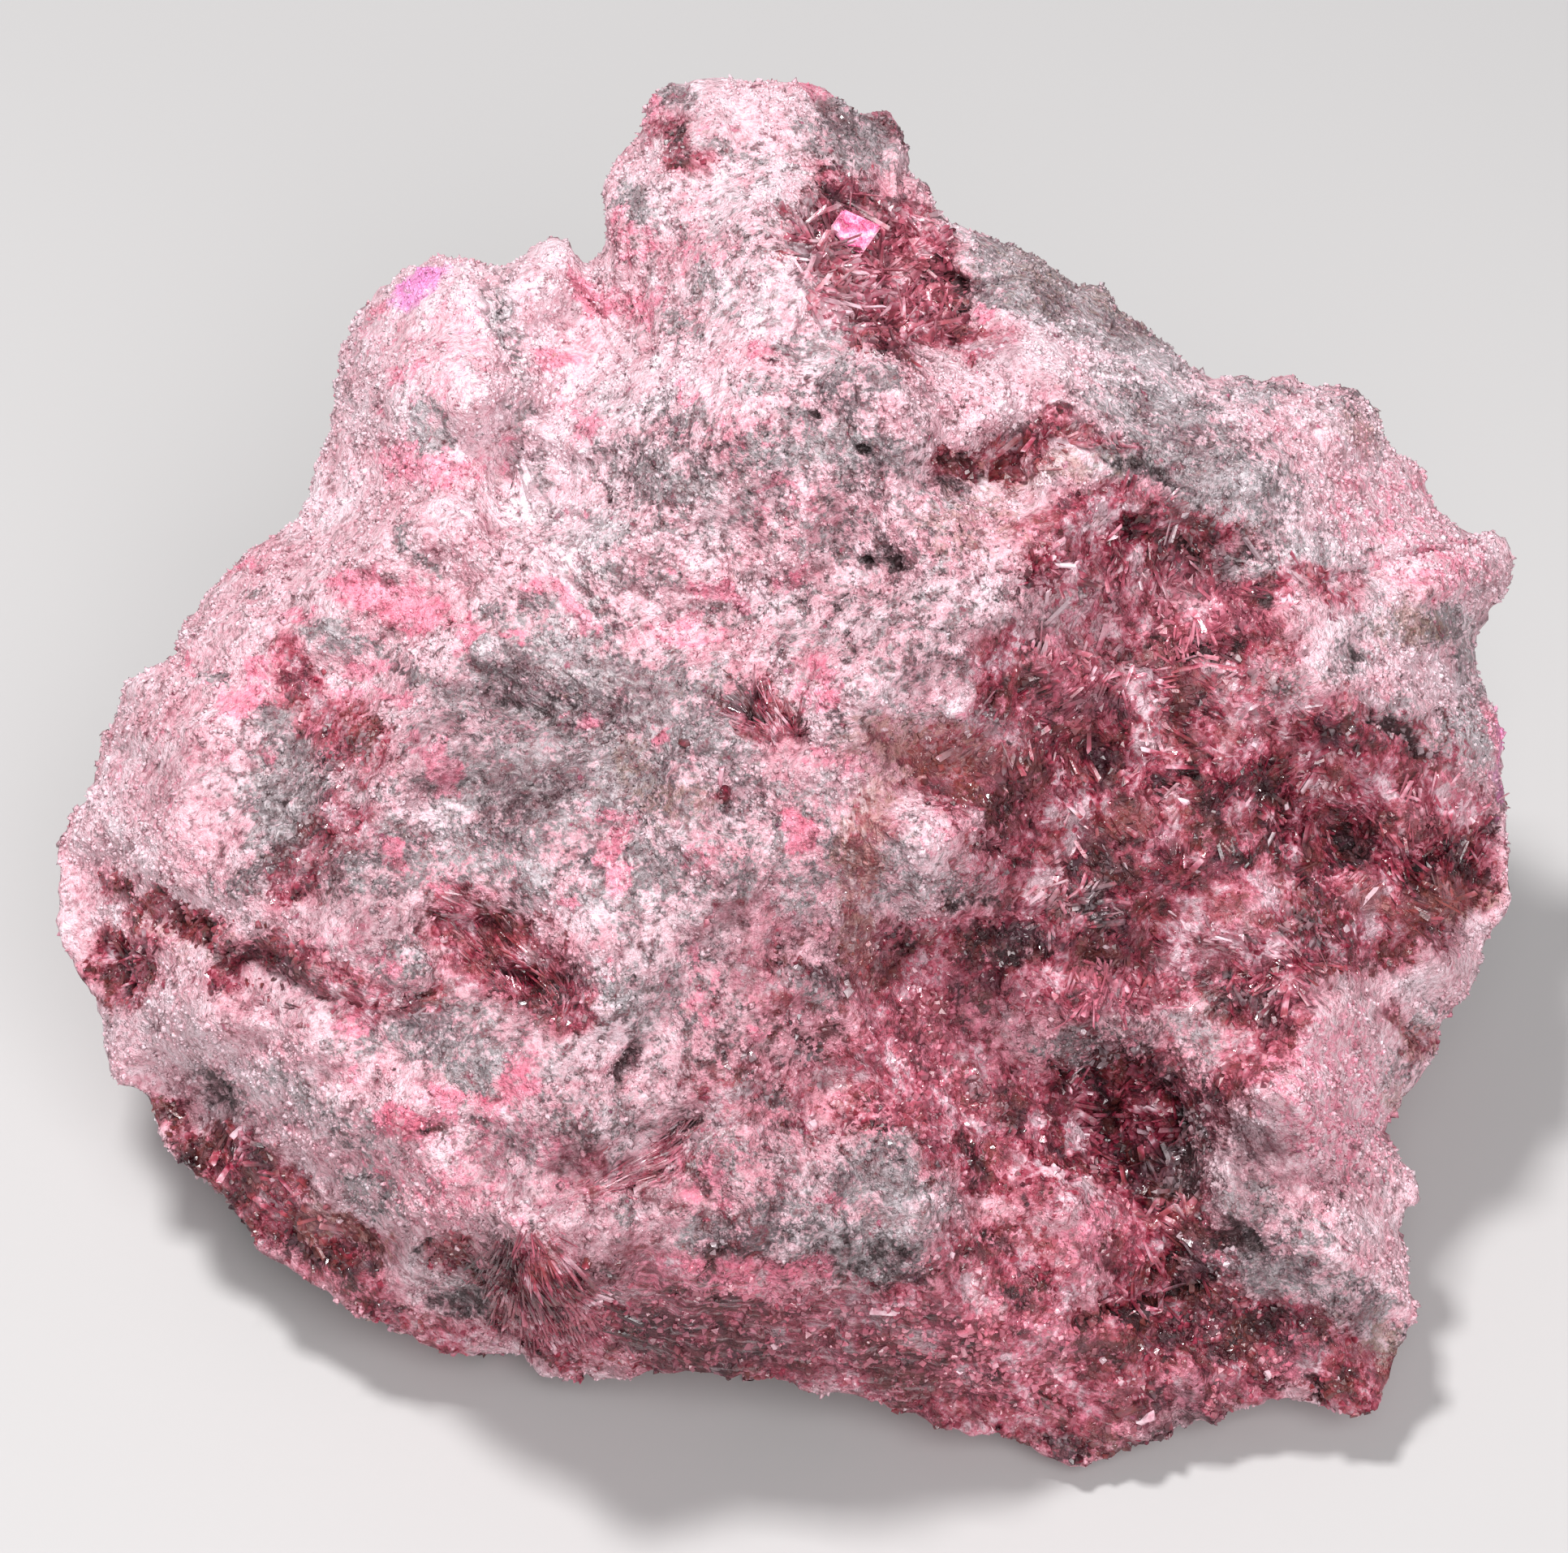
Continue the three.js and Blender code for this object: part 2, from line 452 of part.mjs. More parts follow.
function largestBody(solid) {
  return solid.decompose().sort((a, b) => b.volume() - a.volume())[0];
}

// Corners that meet are made one before the bodies are told apart, so a pinched-off void is dropped too
function meshOf(name, solid, colour, roughnessValue) {
  const geometry = geometryFrom(largestBody(solidOf(geometryFrom(solid))));
  geometry.computeVertexNormals();
  const material = new THREE.MeshStandardMaterial({ color: colour, roughness: roughnessValue, metalness: 0 });
  const mesh = new THREE.Mesh(geometry, material);
  mesh.name = name;
  return mesh;
}

const skin = geometryOf(points, faces);
skin.computeVertexNormals();
const normals = points.map((point, i) => new THREE.Vector3().fromBufferAttribute(skin.attributes.normal, i));

// The broad face moved towards the eye; it never folds, because each ray meets it once
function lifted(amount) {
  return points.map((point, i) => {
    const towardsEye = eye.clone().sub(point).normalize();
    return point.clone().addScaledVector(towardsEye, photoOf[i] ? amount : 0);
  });
}

const belowTable = new THREE.BoxGeometry(300, 300, 40).translate(0, 0, -20);
const stone = largestBody(solidOf(skin).subtract(solidOf(belowTable)));
const keepClear = solidOf(geometryOf(lifted(crustGap), faces)).add(stone);

function inRegion([px, py], region) {
  let inside = false;
  for (let i = 0; i < region.length; i += 1) {
    const [ax, ay] = region[i];
    const [bx, by] = region[(i + 1) % region.length];
    const crosses = (ay > py) !== (by > py) && px < ax + ((py - ay) / (by - ay)) * (bx - ax);
    if (crosses) inside = !inside;
  }
  return inside;
}

// A closed sheet that follows the stone's skin inside a region
function sheetOver(region) {
  const inside = faces.filter((face) => {
    if (face.some((corner) => photoOf[corner] === null)) return false;
    const middle = [0, 1].map((axis) => face.reduce((sum, corner) => sum + photoOf[corner][axis], 0) / 3);
    return inRegion(middle, region);
  });
  const top = lifted(crustGap + crustThickness);
  const bottom = lifted(crustGap);
  const edges = new Set(inside.flatMap(([a, b, c]) => [`${a} ${b}`, `${b} ${c}`, `${c} ${a}`]));
  const count = points.length;
  const triangles = [];
  for (const [a, b, c] of inside) {
    triangles.push([a, b, c], [a + count, c + count, b + count]);
    for (const [from, to] of [[a, b], [b, c], [c, a]]) {
      if (!edges.has(`${to} ${from}`)) {
        triangles.push([from, from + count, to + count], [from, to + count, to]);
      }
    }
  }
  return { inside, solid: largestBody(solidOf(geometryOf([...top, ...bottom], triangles))) };
}

// One blade: a flat rhombic prism with a chisel tip, its root at the origin, growing along +Z
function bladeShape(length, width) {
  const profile = [[0, 0], [width / 2, 0], [width / 2, length * 0.8], [0, length]];
  const blade = new THREE.LatheGeometry(profile.map((pair) => new THREE.Vector2(...pair)), 4);
  return solidOf(blade.rotateX(Math.PI / 2).scale(1, 0.5, 1));
}

function crustOf(crust) {
  const { inside, solid } = sheetOver(crust.region);
  const blades = [];
  for (let i = 0; i < crust.blades; i += 1) {
    const face = inside[Math.floor(roll(0, inside.length - 0.01))];
    const root = new THREE.Vector3();
    const normal = new THREE.Vector3();
    for (const corner of face) {
      root.addScaledVector(points[corner], 1 / 3);
      normal.add(normals[corner]);
    }
    normal.normalize();
    const along = new THREE.Vector3(roll(-1, 1), roll(-1, 1), roll(-1, 1));
    if (crust.root) {
      along.copy(root).sub(placeInSpace(...crust.root, root.z));
      along.x += roll(-1.2, 1.2);
    }
    along.addScaledVector(normal, -along.dot(normal)).normalize();
    const rise = THREE.MathUtils.degToRad(crust.rise * roll(0.6, 1.4));
    along.multiplyScalar(Math.cos(rise)).addScaledVector(normal, Math.sin(rise));
    const length = roll(...crust.length);
    const start = root.clone().addScaledVector(normal, 1).addScaledVector(along, -0.15 * length);
    const frame = new THREE.Matrix4();
    const side = new THREE.Vector3().crossVectors(normal, along).normalize();
    frame.makeBasis(side, new THREE.Vector3().crossVectors(along, side), along);
    frame.setPosition(start);
    blades.push(bladeShape(length, crust.width * roll(0.8, 1.25)).transform(frame.toArray()));
  }
  return largestBody(solid.add(wasm.Manifold.union(blades).subtract(keepClear)));
}

// The bright rhomb: a squat leaning block with slanted ends
function awayFromRhomb(photo) {
  return photo ? Math.hypot(photo[0] - rhomb.at[0], photo[1] - rhomb.at[1]) : Infinity;
}
const nearestPoint = photoOf.reduce((best, photo, i) => (
  awayFromRhomb(photo) < awayFromRhomb(photoOf[best]) ? i : best
), 0);
function rhombSolid(extra) {
  const half = rhomb.across / 2 + extra;
  const profile = new THREE.Shape([
    new THREE.Vector2(-half * 1.1, -half * 0.75),
    new THREE.Vector2(half * 0.8, -half * 0.75),
    new THREE.Vector2(half * 1.1, half * 0.75),
    new THREE.Vector2(-half * 0.8, half * 0.75),
  ]);
  const depth = rhomb.thick + 2 * extra;
  const block = new THREE.ExtrudeGeometry(profile, { depth, bevelEnabled: false });
  block.translate(0, 0, -depth / 2);
  block.rotateZ(THREE.MathUtils.degToRad(-rhomb.turn));
  block.rotateX(THREE.MathUtils.degToRad(90 - eyeElevation + 6));
  const place = points[nearestPoint].clone().addScaledVector(forward, -rhomb.lift - rhomb.thick / 2);
  return solidOf(block.translate(...place.toArray()));
}

const rose = '#d79aa8';
const crimson = '#7b2136';
const brightPink = '#ee86b4';
const object = new THREE.Group();
object.name = 'roselite_specimen';
object.add(meshOf('stone', stone, rose, 0.9));
for (const [name, crust] of Object.entries(crusts)) {
  let solid = crustOf(crust);
  if (name === 'upper_pocket_crystals') solid = largestBody(solid.subtract(rhombSolid(rhomb.gap)));
  object.add(meshOf(name, solid, crimson, 0.35));
}
object.add(meshOf('upper_pocket_rhomb', rhombSolid(0).subtract(keepClear), brightPink, 0.2));

// Put the middle of the object's footprint at the origin, standing on the plane z = 0
const box = new THREE.Box3().setFromObject(object);
const shift = box.getCenter(new THREE.Vector3()).setZ(box.min.z).negate();
for (const mesh of object.children) mesh.geometry.translate(...shift.toArray());

export default object;
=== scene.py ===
# Roselite on its pale stone: the fine relief, the crystal beds, the sugary grains and the light.
import math

import bmesh
import bpy
import numpy as np
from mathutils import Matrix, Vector, noise
from mathutils.bvhtree import BVHTree


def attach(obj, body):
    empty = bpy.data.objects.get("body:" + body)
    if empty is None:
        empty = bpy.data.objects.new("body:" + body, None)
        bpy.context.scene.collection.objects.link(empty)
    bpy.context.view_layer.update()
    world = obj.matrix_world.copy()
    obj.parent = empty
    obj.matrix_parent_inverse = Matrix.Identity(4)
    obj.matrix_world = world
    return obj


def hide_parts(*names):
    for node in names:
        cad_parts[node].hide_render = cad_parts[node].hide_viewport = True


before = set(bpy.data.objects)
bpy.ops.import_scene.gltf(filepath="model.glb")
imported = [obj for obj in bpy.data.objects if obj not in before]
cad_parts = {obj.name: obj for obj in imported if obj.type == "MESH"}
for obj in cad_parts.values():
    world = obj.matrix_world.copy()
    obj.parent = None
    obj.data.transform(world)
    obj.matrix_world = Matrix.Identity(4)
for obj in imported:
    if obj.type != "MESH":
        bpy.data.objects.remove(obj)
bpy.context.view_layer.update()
scene = bpy.context.scene
scene.view_settings.view_transform = "Standard"
noise.seed_set(5)                          # without a seed noise_vector differs from run to run
print("frame loaded")

# How the photograph was taken, in metres and in its own pixels
view = {
    "elevation": math.radians(42),         # above the table
    "distance": 0.338,                     # from the eye to the table at the picture's middle
    "focal": 5550,                         # in photograph pixels
    "middle": (966, 956.5),
    "width": 1932,
    "target": Vector((-0.00051, 0.0297, 0)),
}
forward = Vector((0, math.cos(view["elevation"]), -math.sin(view["elevation"])))
upward = Vector((0, math.sin(view["elevation"]), math.cos(view["elevation"])))
eye = view["target"] - forward * view["distance"]
mm = 0.001


def photoOf(points):                       # where points of the model fall in the photograph
    away = np.asarray(points) - np.array(eye)
    depth = away @ np.array(forward)
    x = view["middle"][0] + view["focal"] * away[:, 0] / depth
    y = view["middle"][1] - view["focal"] * (away @ np.array(upward)) / depth
    return x, y


def towards(x, y):                         # the line of sight through a place in the photograph
    right = Vector((1, 0, 0)) * (x - view["middle"][0])
    up = upward * (view["middle"][1] - y)
    return (forward * view["focal"] + right + up).normalized()


def smooth(low, high, value):
    share = np.clip((value - low) / (high - low), 0, 1)
    return share * share * (3 - 2 * share)


def colour(code):                          # a colour code from a picture as the linear colour a shader wants
    parts = [int(code[i:i + 2], 16) / 255 for i in (1, 3, 5)]
    return tuple(c / 12.92 if c <= 0.04045 else ((c + 0.055) / 1.055) ** 2.4 for c in parts) + (1,)


def add(tree, kind, inputs=None, **settings):          # one node, with its values and its links
    made = tree.nodes.new(kind)
    for key, value in settings.items():
        setattr(made, key, value)
    for key, value in (inputs or {}).items():
        if isinstance(value, bpy.types.NodeSocket):
            tree.links.new(value, made.inputs[key])
        else:
            made.inputs[key].default_value = value
    return made


def newGroup(name, kind, inputs, outputs):             # an empty node group, with its sockets as (name, type)
    group = bpy.data.node_groups.new(name, kind)
    for way, sockets in (("INPUT", inputs), ("OUTPUT", outputs)):
        for label, sort in sockets:
            group.interface.new_socket(label, in_out=way, socket_type="NodeSocket" + sort)
    return group, group.nodes.new("NodeGroupInput").outputs, group.nodes.new("NodeGroupOutput").inputs


def makeObject(name, mesh):
    made = bpy.data.objects.new(name, mesh)
    scene.collection.objects.link(made)
    return made


def meshFrom(work, name):                  # ends work on a bmesh
    mesh = bpy.data.meshes.new(name)
    work.to_mesh(mesh)
    work.free()
    return mesh


def mergedCopy(node):                      # a CAD node's mesh with its corners joined up, as a bmesh
    work = bmesh.new()
    work.from_mesh(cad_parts[node].data)
    bmesh.ops.remove_doubles(work, verts=work.verts, dist=1e-6)
    return work


def evaluated(piece):                      # the mesh that the piece's modifiers make of it
    shown = piece.evaluated_get(bpy.context.evaluated_depsgraph_get())
    return bpy.data.meshes.new_from_object(shown)


def rounded(piece, levels):                # the piece's mesh after some rounds of subdivision
    modifier = piece.modifiers.new("rounder", "SUBSURF")
    modifier.levels = modifier.render_levels = levels
    mesh = evaluated(piece)
    piece.modifiers.remove(modifier)
    return mesh


def coordinates(mesh):
    found = np.empty(len(mesh.vertices) * 3)
    mesh.vertices.foreach_get("co", found)
    return found.reshape(-1, 3)


def normalsOf(mesh):
    found = np.empty(len(mesh.vertices) * 3)
    mesh.vertex_normals.foreach_get("vector", found)
    return found.reshape(-1, 3)


def moveTo(mesh, points):                  # sets the mesh down at these places, none of them under the table
    points[:, 2] = np.maximum(points[:, 2], 0)
    mesh.vertices.foreach_set("co", points.ravel())
    mesh.update()


def store(mesh, name, values, kind="FLOAT"):
    attribute = mesh.attributes.get(name) or mesh.attributes.new(name, kind, "POINT")
    key = "value" if kind == "FLOAT" else "vector"
    attribute.data.foreach_set(key, np.asarray(values, np.float32).ravel())


def stored(mesh, name):
    values = np.empty(len(mesh.vertices), np.float32)
    mesh.attributes[name].data.foreach_get("value", values)
    return values


def finishPiece(piece, slot, *nodes):
    if nodes:
        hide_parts(*nodes)
    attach(piece, "root")


# The stone's fine relief. A place is photo x, photo y, half width, half height and turn, then a height in mm
relief = {
    "levels": 2,                           # rounds of smoothing over the CAD faces
    "chips": (0.0019, 0.00030),            # size of the broken chips, and how far they tilt
    "lumps": (0.0034, 0.00012),            # wavelength and height of the soft lumps
    "clumps": (0.0015, 0.0007),            # rounded clumps with creases between them, in the lumpy places
    "crumbs": (0.0010, 0.00021),           # wavelength and height of the crumbs
    "grit": (0.00055, 0.00013),            # and of the grit on them
    "evenly": 0.2,                         # how clumped the stone is outside the lumpy places
    "strays": ((34, 0.0021, 5), (46, 0.0058, 15)),     # photo pixels, the noise's size, and which noise
    "combing": 0.88,                       # how much the noise of the fibres is drawn out along them
}
hollows = {
    "pitRow": (1078, 682, 9, 7, 10, -1.2), "pitRowTail": (1104, 700, 10, 5, 0, -1.0),
    "pitPair": (1044, 744, 9, 6, 15, -1.1), "pitPairLow": (1034, 768, 7, 6, 0, -0.8),
    "pitBelow": (1050, 796, 16, 10, 0, -1.0), "pitSide": (1005, 512, 9, 9, 0, -1.2),
    "pitLeft": (1060, 555, 10, 8, 0, -1.0), "pitHigh": (1172, 574, 15, 12, 0, -1.0),
    "pitCrumb": (1090, 566, 8, 6, 0, -0.9), "pitKnobSide": (1075, 478, 14, 20, 0, -0.7),
    "pocketHoleTop": (1026, 238, 24, 22, 40, -1.5), "pocketHoleSide": (1166, 350, 26, 21, 20, -2.0),
    "pocketTail": (1200, 440, 14, 18, 20, -0.8), "vugFloor": (1252, 556, 20, 18, 20, -0.9),
    "vugFoot": (1232, 582, 18, 10, -20, -1.2), "sprayBed": (1345, 536, 34, 10, 12, -0.6),
    "fanFloor": (944, 880, 30, 20, 35, -1.5), "fanFoot": (985, 905, 16, 12, 40, -0.8),
    "greySlot": (640, 872, 56, 8, 12, -0.5), "slit": (624, 395, 5, 48, -12, -0.8),
    "leftPocketFloor": (650, 1196, 34, 15, 10, -1.9), "leftPocketSide": (600, 1150, 24, 12, 30, -0.8),
    "leftPocketLow": (670, 1226, 24, 18, 20, -1.1), "ledgeDark": (228, 1136, 40, 9, 14, -0.9),
    "notchDark": (150, 1195, 34, 26, 20, -1.4), "bandDark": (382, 1206, 20, 6, 12, -0.3),
    "hollowTop": (1335, 1322, 32, 10, 6, -2.2), "hollowRight": (1425, 1352, 30, 12, 15, -1.6),
    "hollowLeft": (1350, 1352, 18, 12, 10, -1.6), "hollowCore": (1450, 1372, 14, 22, 0, -1.5),
    "lensUnder": (1400, 1426, 60, 10, -10, -1.7), "edgeDark": (1440, 1475, 16, 12, 0, -1.4),
    "lowDark": (1436, 1540, 22, 40, 0, -1.3), "groove": (1400, 1604, 80, 8, -4, -1.9),
    "grooveRight": (1470, 1592, 26, 9, 10, -1.2), "wallDark": (1520, 1530, 40, 26, 0, -1.2),
    "fieldDark": (1450, 958, 14, 9, 0, -1.0), "fieldDarkB": (1655, 1035, 26, 12, 10, -0.7),
    "fieldDarkC": (1770, 1062, 24, 12, 0, -0.9), "fieldDarkD": (1605, 1085, 12, 12, 0, -0.8),
    "fieldDarkE": (1575, 1000, 18, 12, 20, -0.8), "bandUnder": (1480, 800, 50, 6, 10, -0.9),
    "bandTopDark": (1480, 668, 50, 7, 16, -0.9), "islandUnder": (1240, 1040, 34, 8, 6, -0.6),
    "islandDark": (1225, 1150, 30, 8, 0, -1.1), "rightPits": (1700, 885, 18, 15, 30, -0.9),
    "rightPitsB": (1735, 915, 12, 14, 0, -0.8), "rightPitsC": (1775, 930, 12, 10, 0, -0.7),
    "wedgeDark": (790, 1445, 40, 9, -14, -1.3), "wedgeTop": (835, 1402, 26, 7, -6, -0.8),
    "crack": (1625, 1492, 24, 5, -10, -1.0), "leftFlankDark": (262, 1340, 20, 30, -30, -0.8),
    "flankCrimson": (215, 1376, 16, 12, 20, -0.8), "sprayDark": (635, 1570, 10, 26, 10, -0.8),
    "chipA": (520, 1532, 22, 7, -20, -0.9), "chipB": (770, 1325, 12, 20, 10, -0.8),
    "chipC": (560, 1600, 26, 12, 20, -0.6), "greyFoot": (1050, 1590, 30, 18, 10, -0.9),
    "greyFootLeft": (890, 1560, 12, 22, 0, -0.8), "edgeKnobGap": (1525, 1702, 14, 18, 0, -0.8),
    "edgeKnobDark": (1622, 1715, 16, 16, 0, -1.0), "triangleFace": (1740, 1260, 36, 12, 50, -0.9),
}
knobs = {
    "cleftFill": (652, 590, 32, 34, 0, 1.9), "slotFill": (284, 1160, 20, 12, 14, 1.3),
    "bandFill": (400, 1205, 90, 12, 16, 0.9), "bandTailFill": (480, 1236, 50, 14, 6, 1.1),
    "glassy": (1052, 478, 36, 40, 10, 0.8), "knot": (1405, 782, 26, 26, 0, 0.6),
    "whiteSlab": (1092, 1616, 34, 9, 20, 0.7), "frontWhite": (1300, 1478, 30, 20, -30, 0.8),
    "frontWhiteLow": (1330, 1548, 34, 22, 0, 0.6), "whiteLens": (1232, 1508, 28, 6, 4, 0.5),
    "greyLens": (1212, 1345, 10, 46, -28, 0.6), "spine": (1296, 1640, 7, 44, 4, 0.7),
    "crystalLens": (1382, 1424, 58, 12, -12, 0.9), "hollowKnobA": (1372, 1332, 18, 9, -30, 0.9),
    "hollowKnobB": (1440, 1340, 14, 14, 0, 0.7), "edgeWhite": (1462, 1700, 26, 20, 20, 0.6),
    "edgePink": (1588, 1682, 20, 18, 0, 0.6), "edgeGloss": (1402, 1750, 36, 14, -32, 0.5),
    "block": (592, 802, 16, 14, 0, 0.9), "blockBelow": (560, 1010, 34, 20, 0, 0.5),
    "eyeA": (1527, 640, 10, 9, 0, 0.5), "eyeB": (1560, 704, 14, 10, 0, 0.5),
    "eyeC": (1655, 706, 12, 10, 0, 0.5), "eyeD": (1505, 665, 20, 6, 10, 0.4),
    "paleEye": (1186, 866, 20, 18, 0, 0.6), "islandWhite": (1160, 1030, 40, 40, 0, 0.5),
    "fieldSliver": (1478, 984, 14, 5, 20, 0.6), "glintSlab": (1560, 986, 10, 14, 40, 0.5),
    "wallRidge": (1516, 1432, 10, 60, -20, 0.6), "leftWhite": (140, 1010, 18, 30, -15, 0.5),
    "leftWhiteB": (160, 950, 14, 12, 0, 0.4), "leftWhiteC": (250, 850, 14, 20, -30, 0.5),
    "whiteBar": (888, 956, 4, 18, 4, 0.8), "wallKnot": (1405, 1268, 34, 26, 0, 0.6),
    "pinkWedge": (1340, 1230, 36, 34, 0, 0.7), "knobRow": (1262, 1210, 22, 22, 0, 0.8),
    "knobRowLow": (1250, 1260, 22, 18, 0, 0.7), "fringe": (930, 1260, 20, 16, 0, 0.5),
    "greyFront": (1000, 1490, 30, 26, 0, 0.7), "greyFrontB": (1090, 1470, 34, 40, 0, 0.7),
    "greyFrontC": (1060, 1560, 50, 24, 0, 0.6), "greyFrontD": (880, 1430, 30, 24, 0, 0.5),
    "fanBlock": (690, 1590, 40, 44, 0, 0.7), "shoulderKnob": (540, 350, 40, 18, -20, 0.4),
}
lumpy = {                                  # where the stone is clumped, and how strongly
    "knobs": (1010, 1500, 160, 90, 0, 1.0), "greyMass": (700, 900, 180, 100, 10, 0.6),
    "peak": (930, 260, 160, 120, 0, 0.45), "leftMass": (380, 990, 110, 90, 0, 0.6),
    "shelf": (1080, 600, 210, 100, 0, 0.5), "rightMottle": (1750, 880, 90, 80, 0, 0.7),
    "wall": (1600, 1450, 110, 150, 0, 0.5), "greyField": (1480, 580, 150, 90, 24, 0.4),
    "lowLeft": (540, 1270, 200, 110, 10, 0.35), "shoulder": (560, 480, 180, 160, 0, 0.3),
    "block": (760, 1210, 90, 60, 0, 0.7), "middle": (900, 1060, 200, 120, 0, 0.45),
}


def wander(points, size, offset):          # a slow noise over the stone, from 0 to 1
    shift = Vector((offset, offset * 0.7, -offset))
    return np.array([0.5 + 0.5 * noise.fractal(Vector(p) / size + shift, 1.0, 2.0, 3) for p in points])


def warp(points):                          # how far each place strays, so that no patch is an oval
    return [sum(reach * (wander(points, size, which + i) - 0.5) for reach, size, which in relief["strays"])
            for i in (0, 2)]


def across(px, py, place):                 # how far out of a placed oval each point lies, 1 at its edge
    x, y, wide, tall, turn = place[:5]
    c, s = math.cos(math.radians(turn)), math.sin(math.radians(turn))
    u = ((px - x) * c + (py - y) * s) / wide
    v = ((py - y) * c - (px - x) * s) / tall
    return np.hypot(u, v)


def within(px, py, place):                 # a field's strength over its oval, fading out round it
    return place[5] * smooth(1.7, 0.5, across(px, py, place))


def chippedBy(point, size):                # broken chips: each cell of the stone is a small tilted plane
    middle = noise.voronoi(point / size)[1][0]
    tilt = noise.cell_vector(middle * 7.3)
    return tilt.dot(point / size - middle) + 0.5 * tilt.x


def ridges(point):
    return noise.ridged_multi_fractal(point, 0.9, 2.0, 2, 1.0, 2.0, noise_basis="PERLIN_NEW") - 1.0


def roughen(points, px, py):
    clumped = np.full(len(points), relief["evenly"])
    for place in lumpy.values():
        clumped = np.maximum(clumped, place[5] * smooth(1.6, 0.4, across(px, py, place)))
    out = np.zeros(len(points))
    for i, place in enumerate(points):
        point = Vector(place)
        lift = relief["chips"][1] * chippedBy(point, relief["chips"][0])
        lift += relief["lumps"][1] * noise.fractal(point / relief["lumps"][0], 1.0, 2.1, 2)
        clump = abs(noise.noise(point / relief["clumps"][0])) * 1.6 - 0.4
        lift += clumped[i] * relief["clumps"][1] * clump
        lift += relief["crumbs"][1] * ridges(point / relief["crumbs"][0])
        lift += relief["grit"][1] * noise.noise(point / relief["grit"][0])
        out[i] = lift
    return out


def shapeStone():
    mesh = meshFrom(mergedCopy("stone"), "stoneMatrix")
    piece = makeObject("stoneMatrix", mesh)
    corners = coordinates(mesh)
    for _ in range(2):                     # rounding pulls corners in, so they are pushed out first
        pulled = coordinates(rounded(piece, 1))[:len(corners)]
        mesh.vertices.foreach_set("co", (coordinates(mesh) + 0.9 * (corners - pulled)).ravel())
        mesh.update()
    mesh = piece.data = rounded(piece, relief["levels"])
    points, normals = coordinates(mesh), normalsOf(mesh)
    px, py = photoOf(points)
    warpX, warpY = warp(points)
    px, py = px + warpX, py + warpY
    toEye = np.array(eye) - points
    toEye /= np.linalg.norm(toEye, axis=1)[:, None]
    seen = smooth(-0.3, 0.0, (normals * toEye).sum(1))
    lift = np.zeros(len(points))
    for place in list(hollows.values()) + list(knobs.values()):
        lift += place[5] * mm * smooth(1.35, 0.35, across(px, py, place)) * seen
    rough = roughen(points, px, py)
    store(mesh, "rough", rough / mm)
    mesh.polygons.foreach_set("use_smooth", np.ones(len(mesh.polygons), bool))
    moveTo(mesh, points + normals * (lift + rough)[:, None])
    return piece, px, py, seen


stone, stoneX, stoneY, stoneSeen = shapeStone()
print("stone shaped:", len(stone.data.polygons), "faces")

